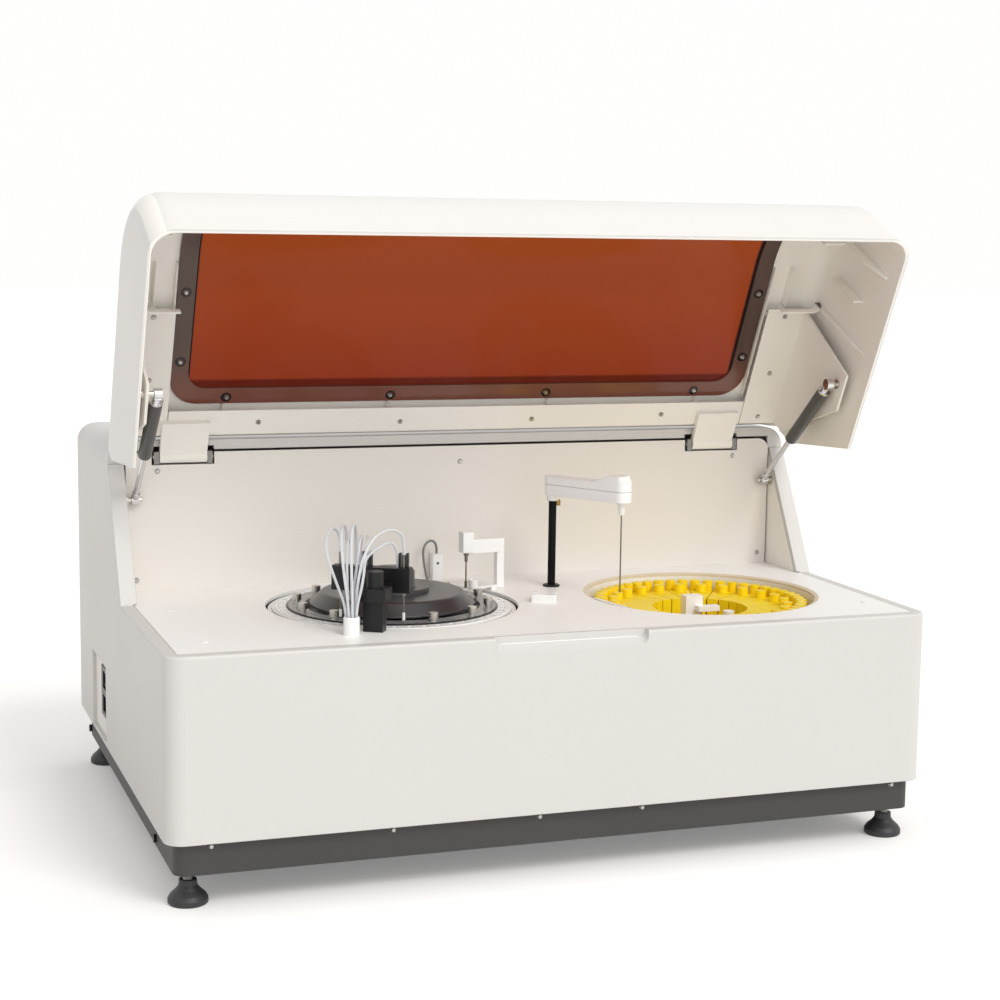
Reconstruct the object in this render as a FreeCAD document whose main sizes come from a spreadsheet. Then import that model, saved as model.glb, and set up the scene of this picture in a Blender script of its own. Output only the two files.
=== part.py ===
import FreeCAD, Part
import math
import os
import Sketcher

# Bench chemistry analyzer with its lid held open
# Millimetres, Z up. The origin is on the floor under the middle of the casing,
# -Y is the front and +X is the right-hand side seen from the front.
# The lid and all that rides on it are drawn closed and then swung open.

doc = FreeCAD.newDocument("chemistry_analyzer")
sheet = doc.addObject("Spreadsheet::Sheet", "Sizes")
finished = []
Vector = FreeCAD.Vector
Turn = FreeCAD.Rotation
UP = Vector(0, 0, 1)


# Sizes that remember their spreadsheet formula

def formula(size):
    return size.formula if isinstance(size, Size) else "(%.9g)" % size


class Size(float):
    """A length whose spreadsheet formula grows as it is added to or scaled."""

    def __new__(cls, value, text):
        size = float.__new__(cls, value)
        size.formula = text
        return size

    def __add__(self, other):
        return Size(float(self) + float(other), "(%s + %s)" % (self.formula, formula(other)))

    def __radd__(self, other):
        return Size(float(other) + float(self), "(%s + %s)" % (formula(other), self.formula))

    def __sub__(self, other):
        return Size(float(self) - float(other), "(%s - %s)" % (self.formula, formula(other)))

    def __rsub__(self, other):
        return Size(float(other) - float(self), "(%s - %s)" % (formula(other), self.formula))

    def __mul__(self, other):
        return Size(float(self) * float(other), "(%s * %s)" % (self.formula, formula(other)))

    def __rmul__(self, other):
        return Size(float(other) * float(self), "(%s * %s)" % (formula(other), self.formula))

    def __truediv__(self, other):
        return Size(float(self) / float(other), "(%s / %s)" % (self.formula, formula(other)))

    def __neg__(self):
        return Size(-float(self), "(0 - %s)" % self.formula)


def cosine(angle):
    return Size(math.cos(math.radians(angle)), "cos(%s)" % formula(angle))


def sine(angle):
    return Size(math.sin(math.radians(angle)), "sin(%s)" % formula(angle))


def given(name, value):
    """Writes one driving size to the next row of the sheet."""
    row = str(len(sheet_names) + 1)
    sheet_names.append(name)
    sheet.set("A" + row, name)
    sheet.set("B" + row, str(value))
    sheet.setAlias("B" + row, name)
    return Size(value, "Sizes." + name)


sheet_names = []

# Casing
width = 850
depth = 620
shell_wall = 5
shell_bottom = 70
deck_top = 260
deck_thickness = 4
corner_radius = 20
rim_width = 14
wing_width = 18
wing_foot = 278
wing_top = 362
seam_height = 407
seam_gap = 0.6
back_wall_face = 362
sheet_thickness = 2
back_wall_top = 419
cover_top = 433
cover_rounding = 24
cover_wall = 4
strip_bottom = 421.5
recess_half = 85
recess_bottom = 245
recess_depth = 9
recess_slope = 7.5

# Base and feet
base_inset = 9.5
base_bottom = 36
base_sheet = 3
base_flange = 42
foot_inset_side = 27.5
foot_inset_front = 37
foot_inset_rear = 28
foot_radius = 20.5
foot_bell = 25
stud_radius = 5
stud_top = 60
nut_height = 6
running_gap = 0.3

# Lid, drawn closed
hinge_y = 364
hinge_z = 414
open_angle = 63.4
lid_top = 438
lid_wall = 4
lid_front_radius = 122
lid_side_radius = 28
lid_gap = 1.5
lid_back = 350
window_half = 338
window_front = 38
window_rear = 284
window_corner = 22
window_seat = 7
window_lead = 16
frame_band = 20
frame_lead = 34
frame_thickness = 3
liner_level = 420
liner_rear = 338
bracket_face = 408
bracket_thickness = 3

# Hinges
left_hinge = 339.5
right_hinge = 325.5
leaf_half = 27
knuckle_radius = 7
pin_radius = 3
ear_thickness = 6

# Gas springs
spring_x = 396
lower_ball_y = 355
lower_ball_z = 367
upper_ball_y = 211.4
upper_ball_z = 301.4
barrel_radius = 7.5
barrel_length = 104
spring_rod_radius = 3.5
socket_radius = 6.5
socket_half = 4
ball_stud_radius = 3

# Reaction station
ring_x = -134
ring_y = 212
ring_hole = 141
ring_outer = 138
ring_inner = 98
ring_top = 259
cuvette_circle = 124
cuvette_count = 48
nut_circle = 107
thumb_nut_radius = 5
thumb_nut_height = 9
thumb_nut_count = 12
rotor_radius = 116
cone_base_radius = 92
cone_top_radius = 78
cone_base = 261.5
cone_top = 276
drum_flange_radius = 41
drum_flange_top = 281
drum_radius = 25
drum_top = 301
tub_wall = 3
tub_floor = 196

# Wash station, in a frame turned to its beam
wash_turn = -32.5
wash_reach = 105
beam_start = -35
beam_end = 51
beam_thickness = 14
beam_bottom = 294
beam_height = 26
column_along = 24.6
column_reach = 150.2
column_side = 21
column_top = 292
knob_radius = 9
sleeve_x = -222
sleeve_y = 60
sleeve_radius = 8.5
sleeve_top = 279
tube_radius = 1.3

# Mixer
mixer_x = 16
mixer_y = 280
mixer_turn = 185.4
mixer_reach = 42.2
mixer_arm_bottom = 303
mixer_arm_top = 319
mixer_head_top = 328
mixer_post_side = 9
paddle_bottom = 262

# Sample arm
post_x = 79
post_y = 272
arm_turn = -59.1
arm_reach = 100
arm_bottom = 369
arm_top = 391
arm_hump = 9
arm_half_width = 9.5
arm_tip_radius = 11
post_radius = 4.6
probe_radius = 0.9
probe_bottom = 265
holder_length = 14

# Reagent station
tray_x = 232
tray_y = 186
tray_hole = 137
tray_bevel = 5
bevel_depth = 1.6
well_wall = 3
well_floor = 168
tray_radius = 127
bottle_inner = 55
bottle_outer = 125
bottle_top = 243
bottle_bottom = 176
bottle_count = 24
bottle_gap = 0.8
cap_radius = 6.2
cap_height = 11
outer_cap_circle = 117
inner_cap_circle = 101
handle_top = 257.5
insert_reach = 126.1
insert_turn = 192.4

# Electrical inlet
inlet_front = 402
inlet_rear = 510
inlet_bottom = 74
inlet_top = 165
inlet_depth = 4
socket_front = 407
socket_rear = 455
socket_bottom = 98
socket_top = 158
rocker_swing = 14

# Sensor cable
cable_radius = 1.4

# Fasteners and inner units
screw_radius = 3.2
screw_head = 2.2
motor_side = 56
motor_height = 60
supply_length = 200
supply_depth = 110
supply_height = 60

# Every size above gets its own cell in the sheet, and from here on its name stands for that cell
for name, value in list(globals().items()):
    if type(value) in (int, float) and not name.startswith("_"):
        globals()[name] = given(name, value)

half_width = width / 2
half_depth = depth / 2
deck_under = deck_top - deck_thickness
chassis_top = shell_bottom + 4
wing_inside = half_width - wing_width


# Helpers that bind shapes to the sheet

def row(y):
    """Turns a distance behind the front panel into a row of the part's frame."""
    return y - half_depth


def bind(thing, **sizes):
    for name, size in sizes.items():
        thing.setExpression(name, formula(size))


def put(thing, x=0.0, y=0.0, z=0.0, turn=None):
    if turn is not None:
        thing.Placement = FreeCAD.Placement(Vector(), turn)
    for axis, size in zip("xyz", (x, y, z)):
        thing.setExpression("Placement.Base." + axis, formula(size))
    return thing


def box(x, y, z):
    """A block between two corner values along each axis."""
    block = doc.addObject("Part::Box", "block")
    bind(block, Length=x[1] - x[0], Width=y[1] - y[0], Height=z[1] - z[0])
    return put(block, x[0], y[0], z[0])


ALONG = {"x": Turn(Vector(0, 1, 0), 90), "y": Turn(Vector(1, 0, 0), -90), "z": Turn()}


def cylinder(radius, length, x, y, z, along="z"):
    round_bar = doc.addObject("Part::Cylinder", "round_bar")
    bind(round_bar, Radius=radius, Height=length)
    return put(round_bar, x, y, z, ALONG[along])


def cone(low_radius, high_radius, length, x, y, z, along="z"):
    taper = doc.addObject("Part::Cone", "taper")
    bind(taper, Radius1=low_radius, Radius2=high_radius, Height=length)
    return put(taper, x, y, z, ALONG[along])


def fuse(*shapes):
    joined = doc.addObject("Part::MultiFuse", "joined")
    joined.Shapes = list(shapes)
    joined.Refine = True
    return joined


def cut(base, *tools):
    trimmed = doc.addObject("Part::Cut", "trimmed")
    trimmed.Base = base
    trimmed.Tool = tools[0] if len(tools) == 1 else group(*tools)
    return trimmed


def common(first, second):
    shared = doc.addObject("Part::Common", "shared")
    shared.Base = first
    shared.Tool = second
    return shared


def group(*shapes):
    """Separate solids kept side by side."""
    bundle = doc.addObject("Part::Compound", "bundle")
    bundle.Links = list(shapes)
    return bundle


def mirrored(thing):
    """The same piece on the other side of the machine."""
    twin = doc.addObject("Part::Mirroring", "twin")
    twin.Source = thing
    twin.Normal = Vector(1, 0, 0)
    return twin


def rounded(thing, radius, pick):
    """Rounds the edges that pick chooses by their box."""
    doc.recompute()
    edges = [number + 1 for number, edge in enumerate(thing.Shape.Edges)
             if pick(edge.BoundBox)]
    soft = doc.addObject("Part::Fillet", "soft")
    soft.Base = thing
    soft.Edges = [(number, float(radius), float(radius)) for number in edges]
    return soft


def near(first, second):
    return abs(float(first) - float(second)) < 0.05


def upright(bounds):
    """True for an edge that runs straight up."""
    return bounds.XLength < 0.01 and bounds.YLength < 0.01


def finish(thing, name):
    """Names a piece. Its name is also the name of its file."""
    thing.Label = name
    finished.append(thing)
    return thing


PLANES = {"xy": "XY_Plane", "xz": "XZ_Plane", "yz": "YZ_Plane"}


def outline(body, plane, points, offset=0.0):
    """A closed sketch whose corners are tied to the sheet."""
    sketch = body.newObject("Sketcher::SketchObject", "outline")
    for datum in body.Origin.OriginFeatures:
        if datum.Role == PLANES[plane]:
            sketch.AttachmentSupport = (datum, [""])
    sketch.MapMode = "FlatFace"
    sketch.setExpression("AttachmentOffset.Base.z", formula(offset))
    count = len(points)
    for number in range(count):
        start = Vector(float(points[number][0]), float(points[number][1]), 0)
        end_point = points[(number + 1) % count]
        end = Vector(float(end_point[0]), float(end_point[1]), 0)
        sketch.addGeometry(Part.LineSegment(start, end), False)
    for number in range(count):
        sketch.addConstraint(Sketcher.Constraint("Coincident", number, 2, (number + 1) % count, 1))
    for number, point in enumerate(points):
        for kind, size in zip(("DistanceX", "DistanceY"), point):
            place = sketch.addConstraint(Sketcher.Constraint(kind, -1, 1, number, 1, float(size)))
            sketch.setExpression("Constraints[%d]" % place, formula(size))
    return sketch


def slab(plane, points, length, offset=0.0):
    """An outline pushed out to a thickness, away from its plane."""
    body = doc.addObject("PartDesign::Body", "slab")
    sketch = outline(body, plane, points, offset)
    pad = body.newObject("PartDesign::Pad", "pad")
    pad.Profile = sketch
    bind(pad, Length=length)
    return body


def turned(points, x=0.0, y=0.0, z=0.0):
    """A lathe-turned piece from its half section of radius and height."""
    body = doc.addObject("PartDesign::Body", "turned")
    sketch = outline(body, "xz", points)
    spin = body.newObject("PartDesign::Revolution", "spin")
    spin.Profile = sketch
    spin.ReferenceAxis = (sketch, ["V_Axis"])
    spin.Angle = 360
    return put(body, x, y, z)


def swung_open(thing):
    """Turns a piece drawn on the closed lid about the hinge pins to the open lid."""
    y = row(hinge_y)
    turn = Turn(Vector(1, 0, 0), -float(open_angle))
    back = y - y * cosine(open_angle) - hinge_z * sine(open_angle)
    rise = hinge_z + y * sine(open_angle) - hinge_z * cosine(open_angle)
    return put(thing, 0.0, back, rise, turn)


def swung_shut(thing, y, z):
    """Places a cutter, given in the open position, where it meets the closed lid."""
    away_y = y - row(hinge_y)
    away_z = z - hinge_z
    turn = Turn(Vector(1, 0, 0), float(open_angle))
    back = row(hinge_y) + away_y * cosine(open_angle) - away_z * sine(open_angle)
    rise = hinge_z + away_y * sine(open_angle) + away_z * cosine(open_angle)
    return put(thing, -half_width - 1, back, rise, turn)


# Outer housing: front and both sides in one moulding, with the wings
slope_run = wing_top - wing_foot
slope_rise = seam_height - deck_top
side_view = [
    (row(0.0), shell_bottom), (row(depth), shell_bottom), (row(depth), seam_height),
    (row(wing_top), seam_height), (row(wing_foot), deck_top), (row(0.0), deck_top),
]
housing_block = slab("yz", side_view, width, -half_width)
soft_block = rounded(housing_block, corner_radius, lambda edge: upright(edge)
                     and near(edge.YMin, -half_depth))
soft_block = rounded(soft_block, 3.0, lambda edge: near(edge.ZMin, deck_top)
                     and near(edge.ZMax, deck_top) and edge.XLength < width - 30)
inside = box((-half_width + shell_wall, half_width - shell_wall),
             (row(shell_wall), half_depth + 1), (shell_bottom - 1, deck_top - deck_thickness))
inside = rounded(inside, corner_radius - shell_wall, lambda edge: upright(edge)
                 and edge.YMin < 0)
rim_opening = box((-half_width + rim_width, half_width - rim_width),
                  (row(rim_width), half_depth + 1), (deck_under - 1, deck_top + 1))
wing_opening = box((-wing_inside, wing_inside),
                   (row(rim_width), half_depth + 1), (deck_top - 1, seam_height + 1))
return_back = [
    (row(wing_foot) + 6.0, deck_under - 0.5), (half_depth + 1, deck_under - 0.5),
    (half_depth + 1, seam_height + 1), (row(wing_top) + 6.0, seam_height + 1),
    (row(wing_foot) + 6.0, deck_top),
]
wing_hollow = slab("yz", return_back, width - shell_wall * 2, -half_width + shell_wall)
recess_outline = [
    (row(-1.0), recess_bottom - 1), (row(recess_depth), recess_bottom + recess_slope),
    (row(recess_depth), deck_top + 1), (row(-1.0), deck_top + 1),
]
recess_cut = slab("yz", recess_outline, recess_half * 2, -recess_half)
recess_cut = rounded(recess_cut, 7.0, lambda edge: near(edge.ZMin, recess_bottom - 1)
                     and edge.XLength < 1 and edge.YLength > 5)
recess_back = box((-recess_half - 6, recess_half + 6), (row(shell_wall) - 1, row(rim_width)),
                  (recess_bottom - 6, deck_under + 1))
inlet_window = box((-half_width - 1, -half_width + shell_wall + 1),
                   (row(inlet_front), row(inlet_rear)), (inlet_bottom, inlet_top))
hollow_shell = cut(soft_block, inside, rim_opening, wing_opening, wing_hollow, inlet_window)
finish(cut(fuse(hollow_shell, recess_back), recess_cut), "outer_housing")

# Deck panel with its two round openings, the right one bevelled
deck = box((-half_width + rim_width + seam_gap, half_width - rim_width - seam_gap),
           (row(rim_width + seam_gap), row(back_wall_face + 20)), (deck_under, deck_top))
ring_cut = cylinder(ring_hole, deck_thickness + 2, ring_x, row(ring_y), deck_under - 1)
tray_cut = cylinder(tray_hole - tray_bevel, deck_thickness + 2, tray_x, row(tray_y), deck_under - 1)
bevel_cut = cone(tray_hole - tray_bevel, tray_hole, bevel_depth, tray_x, row(tray_y),
                 deck_top - bevel_depth)
tube_hole = cylinder(sleeve_radius - 2, deck_thickness + 2, sleeve_x, row(sleeve_y), deck_under - 1)
post_hole = cylinder(post_radius + running_gap, deck_thickness + 2, post_x, row(post_y), deck_under - 1)
mixer_hole = cylinder(2.0 + running_gap, deck_thickness + 2, mixer_x, row(mixer_y), deck_under - 1)
finish(cut(deck, ring_cut, tray_cut, bevel_cut, tube_hole, post_hole, mixer_hole), "deck_panel")

# Back wall with notches for the two hinges
wall_edge = wing_inside - 2
back_wall = box((-wall_edge, wall_edge), (row(back_wall_face), row(back_wall_face) + sheet_thickness),
                (deck_top, back_wall_top))
back_wall = rounded(back_wall, 14.0, lambda edge: edge.XLength < 0.01 and edge.ZLength < 0.01
                    and near(edge.ZMin, back_wall_top))


def hinge_notch(middle, low, high, y, deep):
    """A slot over one hinge, wider than its ears."""
    half = leaf_half + ear_thickness + 3
    return box((middle - half, middle + half), (y, y + deep), (low, high))


hinge_middles = (-left_hinge, right_hinge)
wall_notches = [hinge_notch(middle, back_wall_top - 14, back_wall_top + 5,
                            row(back_wall_face) - 1, sheet_thickness + 2) for middle in hinge_middles]
finish(cut(back_wall, *wall_notches), "back_wall_panel")

# Wing liners: the inner skins of the two wings
liner_view = [
    (row(wing_foot) + 7.0, deck_top), (row(back_wall_face) + 20.0, deck_top),
    (row(back_wall_face) + 20.0, seam_height), (row(wing_top) + 7.0, seam_height),
]
liner_right = slab("yz", liner_view, sheet_thickness, wing_inside - running_gap)
finish(group(liner_right, mirrored(liner_right)), "wing_liners")

# Rear top cover, a rounded shell over the machine room
cover_front = row(back_wall_face) + sheet_thickness
cover_block = box((-half_width, half_width), (cover_front, half_depth), (seam_height, cover_top))
cover_block = rounded(cover_block, cover_rounding, lambda edge: near(edge.ZMin, cover_top)
                      and (near(edge.YMin, half_depth) or (edge.XLength < 0.01 and edge.YLength > 1)))
cover_hollow = box((-half_width + cover_wall, half_width - cover_wall),
                   (cover_front + cover_wall, half_depth - cover_wall),
                   (seam_height - 1, cover_top - cover_wall))
cover_hollow = rounded(cover_hollow, cover_rounding - cover_wall, lambda edge: near(
    edge.ZMin, cover_top - cover_wall) and (near(edge.YMin, half_depth - cover_wall)
                                             or (edge.XLength < 0.01 and edge.YLength > 1)))
strip_cut = box((-wall_edge, wall_edge), (cover_front - 1, cover_front + cover_wall + 1),
                (seam_height - 1, strip_bottom))
cover_notches = [hinge_notch(middle, strip_bottom - 1, strip_bottom + 4.5, cover_front - 1,
                             cover_wall + 2) for middle in hinge_middles]
finish(cut(cover_block, cover_hollow, strip_cut, *cover_notches), "rear_top_cover")

# Rear panel with two fields of vent slots
rear_plate = box((-half_width + shell_wall, half_width - shell_wall),
                 (half_depth - 5, half_depth - 3), (chassis_top, seam_height))
vent_slots = []
for field in (-250, 170):
    for number in range(9):
        low = 200 + number * 14
        vent_slots.append(box((Size(field, str(field)), Size(field + 110, str(field + 110))),
                              (half_depth - 6, half_depth - 2),
                              (Size(low, str(low)), Size(low + 6, str(low + 6)))))
finish(cut(rear_plate, *vent_slots), "rear_panel")

# Base: a steel tray turned upside down, with an inward flange for the feet
base_x = half_width - base_inset
base_y = half_depth - base_inset
base_block = box((-base_x, base_x), (-base_y, base_y), (base_bottom, chassis_top))
base_block = rounded(base_block, 14.0, upright)
base_hollow = box((-base_x + base_sheet, base_x - base_sheet),
                  (-base_y + base_sheet, base_y - base_sheet),
                  (base_bottom + base_sheet, chassis_top - base_sheet))
base_hollow = rounded(base_hollow, 11.0, upright)
base_mouth = box((-base_x + base_flange, base_x - base_flange),
                 (-base_y + base_flange, base_y - base_flange),
                 (base_bottom - 1, base_bottom + base_sheet + 1))
foot_places = [(side * (half_width - foot_inset_side), row(place))
               for place in (foot_inset_front, depth - foot_inset_rear) for side in (-1, 1)]
foot_holes = [cylinder(stud_radius + running_gap, base_sheet + 2, x, y, base_bottom - 1)
              for x, y in foot_places]
finish(cut(base_block, base_hollow, base_mouth, *foot_holes), "base_plinth")

# Levelling feet: bell-shaped pads moulded on their threaded studs
foot_section = [
    (0.0, 0.0), (foot_radius - 1.5, 0.0), (foot_radius, 1.5), (foot_radius, 6.0),
    (foot_radius - 2.5, 10.0), (foot_radius - 8, 15.0), (foot_radius - 11, 19.0),
    (foot_radius - 11.5, foot_bell), (stud_radius, foot_bell), (stud_radius, stud_top), (0.0, stud_top),
]
for (x, y), name in zip(foot_places, ("front_left", "front_right", "rear_left", "rear_right")):
    finish(turned(foot_section, x, y), "foot_" + name)


def hexagon(across, x, y, z, height):
    """A nut blank of a given width across its flats."""
    prism = doc.addObject("Part::Prism", "prism")
    prism.Polygon = 6
    bind(prism, Circumradius=across / 1.7320508, Height=height)
    return put(prism, x, y, z)


lock_nuts = []
for x, y in foot_places:
    blank = hexagon(stud_radius * 3.4, x, y, base_bottom - nut_height, nut_height)
    lock_nuts.append(cut(blank, cylinder(stud_radius + running_gap, nut_height + 2,
                                         x, y, base_bottom - nut_height - 1)))
finish(group(*lock_nuts), "foot_lock_nuts")


def pan_screw(x, y, z, along, sense=1):
    """A pan head and a short shank, standing on a face at the given point."""
    if along == "y":
        head = cone(screw_radius * 0.62, screw_radius, screw_head, x, y - screw_head, z, "y")
        return head
    return cone(screw_radius, screw_radius * 0.62, screw_head, x, y, z, along)


# Screws of the plinth front and the back wall
base_front = -base_y
screw_places = [-379.0, -191.0, -31.0, 86.0, 390.0]
plinth_level = base_bottom + 29
panel_screws = [pan_screw(Size(x, "(%g)" % x), base_front, plinth_level, "y") for x in screw_places]
wall_face = row(back_wall_face)
for x, z in ((-369.0, 398.0), (-6.0, 400.0), (356.0, 398.0), (394.0, 273.0), (-394.0, 273.0)):
    panel_screws.append(pan_screw(Size(x, "(%g)" % x), wall_face, Size(z, "(%g)" % z), "y"))
finish(group(*panel_screws), "panel_screws")

# Black bolts on both sides of the plinth
side_bolts = []
for y in (118.0, depth - 22.0):
    side_bolts.append(cylinder(4.5, 3.0, -base_x - 3, row(y), base_bottom + 8, "x"))
    side_bolts.append(cylinder(4.5, 3.0, base_x, row(y), base_bottom + 8, "x"))
finish(group(*side_bolts), "plinth_bolts")

# Electrical inlet plate, inlet and rocker in the left side
plate_face = -half_width + inlet_depth
plate = box((plate_face, plate_face + sheet_thickness), (row(inlet_front) + running_gap,
                                                         row(inlet_rear) - running_gap),
            (inlet_bottom + running_gap, inlet_top - running_gap))
plate_flange = box((-half_width + shell_wall, -half_width + shell_wall + sheet_thickness),
                   (row(inlet_front) - 6, row(inlet_rear) + 6), (inlet_bottom, inlet_top + 6))
socket_window = box((plate_face - 1, plate_face + 5), (row(socket_front), row(socket_rear)),
                    (socket_bottom, socket_top))
finish(cut(fuse(plate, plate_flange), socket_window), "inlet_plate")
inlet_middle = socket_bottom + 32
inlet_body = box((plate_face - 1.5, plate_face + 26), (row(socket_front) + running_gap,
                                                       row(socket_rear) - running_gap),
                 (socket_bottom + running_gap, socket_top - running_gap))
socket_hollow = box((plate_face - 3, plate_face + 16), (row(socket_front) + 12, row(socket_rear) - 12),
                    (socket_bottom + 6, inlet_middle - 6))
rocker_bay = box((plate_face - 3, plate_face + 14), (row(socket_front) + 12, row(socket_rear) - 12),
                 (inlet_middle + 2, socket_top - 5))
pins = [box((plate_face + 3, plate_face + 17), (row(socket_front) + y, row(socket_front) + y + 2),
            (socket_bottom + z, socket_bottom + z + 4)) for y, z in ((16.0, 10.0), (30.0, 10.0), (23.0, 18.0))]
rocker_y = row(socket_front) + 24
rocker_z = (inlet_middle + socket_top) / 2 - 1.5
axle_hole = cylinder(1.4 + running_gap, socket_rear - socket_front - 20, plate_face + 5.5,
                     row(socket_front) + 10, rocker_z, "y")
finish(fuse(cut(inlet_body, socket_hollow, rocker_bay, axle_hole), *pins), "power_inlet")
rocker_points = [
    (-2.5, -7.5), (-0.6, 0.0), (-2.5, 7.5), (4.0, 8.5), (6.0, 0.0), (4.0, -8.5),
]
rocker_length = socket_rear - socket_front - 26
rocker = slab("xz", rocker_points, rocker_length, -rocker_length / 2)
put(rocker, plate_face + 2.5, rocker_y, rocker_z)
rocker_axle = cylinder(1.4, rocker_length + 5, plate_face + 5.5, rocker_y - rocker_length / 2 - 2.5,
                       rocker_z, "y")
finish(fuse(rocker, rocker_axle), "rocker_switch")

# Lid shell
lid_front = row(0.0)
lid_rear = row(lid_back)


def lid_solid(inset):
    """The lid's outer form, drawn in by a wall at the front, sides and top."""
    block = box((-half_width + inset, half_width - inset), (lid_front + inset, lid_rear + 8),
                (deck_top + lid_gap, lid_top - inset))
    front_round = rounded(block, lid_front_radius - inset, lambda edge: near(edge.ZMin, lid_top - inset)
                          and near(edge.YMax, lid_front + inset))
    return rounded(front_round, lid_side_radius - inset, lambda edge: edge.XLength < 0.01
                   and edge.YMin < float(lid_rear) and edge.ZMax > float(deck_top) + 3
                   and not near(edge.YMin, lid_rear + 8))


outer_form = lid_solid(0.0)
inner_form = lid_solid(lid_wall)
slope_shift = lid_gap * 1.15
rear_rise = (lid_back + slope_shift - wing_foot) * 1.7523
slope_cut = slab("yz", [
    (row(wing_foot) - slope_shift, deck_top - 5), (row(wing_foot) - slope_shift, deck_top),
    (lid_rear, deck_top + rear_rise), (lid_rear, lid_top + 5),
    (lid_rear + 40, lid_top + 5), (lid_rear + 40, deck_top - 5),
], width + 4, -half_width - 2)
rear_room = box((0.0, width + 2), (0.0, 90.0), (0.0, 110.0))
rear_room = swung_shut(rear_room, row(back_wall_face) - 1, cover_top + 1 - 110)


def window_block(grow, lead, low, high):
    """A block with rounded upright corners over the window."""
    block = box((-window_half - grow, window_half + grow),
                (row(window_front) - lead, row(window_rear) + grow), (low, high))
    return rounded(block, window_corner + grow / 2, upright)


window_hole = window_block(window_seat + running_gap, window_lead + running_gap,
                           lid_top - 90, lid_top + 5)
hollow_lid = cut(outer_form, inner_form, slope_cut, window_hole, rear_room)
boss_places = [(-255.0, 322.0), (-85.0, 325.0), (80.0, 325.0), (250.0, 322.0)]
bosses = [cylinder(6.0, lid_top - lid_wall - liner_level + 1, Size(x, "(%g)" % x), row(y), liner_level)
          for x, y in boss_places]
bracket_bosses = [cylinder(6.0, lid_top - lid_wall - liner_level + 1, side * (bracket_face - 24), row(y),
                           liner_level) for side in (-1, 1) for y in (185.0, 265.0, 328.0)]
ribs = []
for side in (-1, 1):
    for y in (60.0, 110.0):
        inner = half_width - lid_wall - 12
        ends = (inner, half_width - lid_wall + 1) if side > 0 else (-half_width + lid_wall - 1, -inner)
        ribs.append(box(ends, (row(y), row(y) + 2.5), (deck_top + 60, deck_top + 120)))
finish(swung_open(fuse(hollow_lid, *bosses, *bracket_bosses, *ribs)), "lid_shell")

# Amber window, curved with the lid's front
pane_outer = lid_solid(0.2)
pane_inner = lid_solid(lid_wall)
pane_layer = cut(pane_outer, pane_inner)
finish(swung_open(common(pane_layer, window_block(window_seat, window_lead, lid_top - 90, lid_top + 5))),
       "lid_window")

# Dark frame that clamps the window from inside
frame_outer = lid_solid(lid_wall)
frame_inner = lid_solid(lid_wall + frame_thickness)
frame_layer = cut(frame_outer, frame_inner)
frame_ring = cut(window_block(frame_band, frame_lead, lid_top - 118, lid_top + 5),
                 window_block(0.0, 0.0, lid_top - 130, lid_top + 6))
finish(swung_open(common(frame_layer, frame_ring)), "window_frame")

# Rear liner of the lid and the two side brackets
liner = box((-bracket_face + 49, bracket_face - 49), (row(window_rear) + frame_band + 2, row(liner_rear)),
            (liner_level - sheet_thickness, liner_level))
finish(swung_open(group(liner)), "lid_rear_liner")
plate_view = [
    (row(upper_ball_y) - 19, upper_ball_z - 13), (row(upper_ball_y) + 29, upper_ball_z - 13),
    (row(liner_rear) - 3, liner_level - 25), (row(liner_rear), liner_level),
    (row(upper_ball_y) - 36, liner_level),
]
bracket_side = slab("yz", plate_view, bracket_thickness, bracket_face)
bracket_top = box((bracket_face - 48, bracket_face + 1), (row(upper_ball_y) - 36, row(liner_rear)),
                  (liner_level - sheet_thickness, liner_level))
bracket = fuse(bracket_side, bracket_top)
finish(swung_open(group(bracket, mirrored(bracket))), "lid_brackets")

# Screws on the lid's inside
under_frame = lid_top - lid_wall - frame_thickness
lid_screws = []


def lid_screw(x, y, level):
    """A pan head hanging from an inner face of the lid."""
    return cone(screw_radius * 0.62, screw_radius, screw_head, x, row(y), level - screw_head)


side_band = window_half + frame_band / 2
for x in (-side_band, side_band):
    for y in (161.0, 249.0):
        lid_screws.append(lid_screw(x, Size(y, "(%g)" % y), under_frame))
for x in (-292.0, -98.0, 97.0, 293.0):
    lid_screws.append(lid_screw(Size(x, "(%g)" % x), window_rear + 12, under_frame))
for x, y in boss_places:
    lid_screws.append(lid_screw(Size(x, "(%g)" % x), Size(y, "(%g)" % y), liner_level - sheet_thickness))
for side in (-1, 1):
    for y in (185.0, 265.0, 328.0):
        lid_screws.append(lid_screw(side * (bracket_face - 24), Size(y, "(%g)" % y),
                                    liner_level - sheet_thickness))
finish(swung_open(group(*lid_screws)), "lid_screws")

# Ball studs of the lid, one on each bracket
stud_gap = bracket_face - spring_x - socket_half - running_gap
upper_stud = fuse(
    cylinder(ball_stud_radius, stud_gap, spring_x + socket_half + running_gap,
             row(upper_ball_y), upper_ball_z, "x"),
    cylinder(5.5, 2.0, bracket_face - 2, row(upper_ball_y), upper_ball_z, "x"),
    cylinder(5.0, 3.0, bracket_face + bracket_thickness, row(upper_ball_y), upper_ball_z, "x"))
finish(swung_open(group(upper_stud, mirrored(upper_stud))), "lid_ball_studs")


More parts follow.
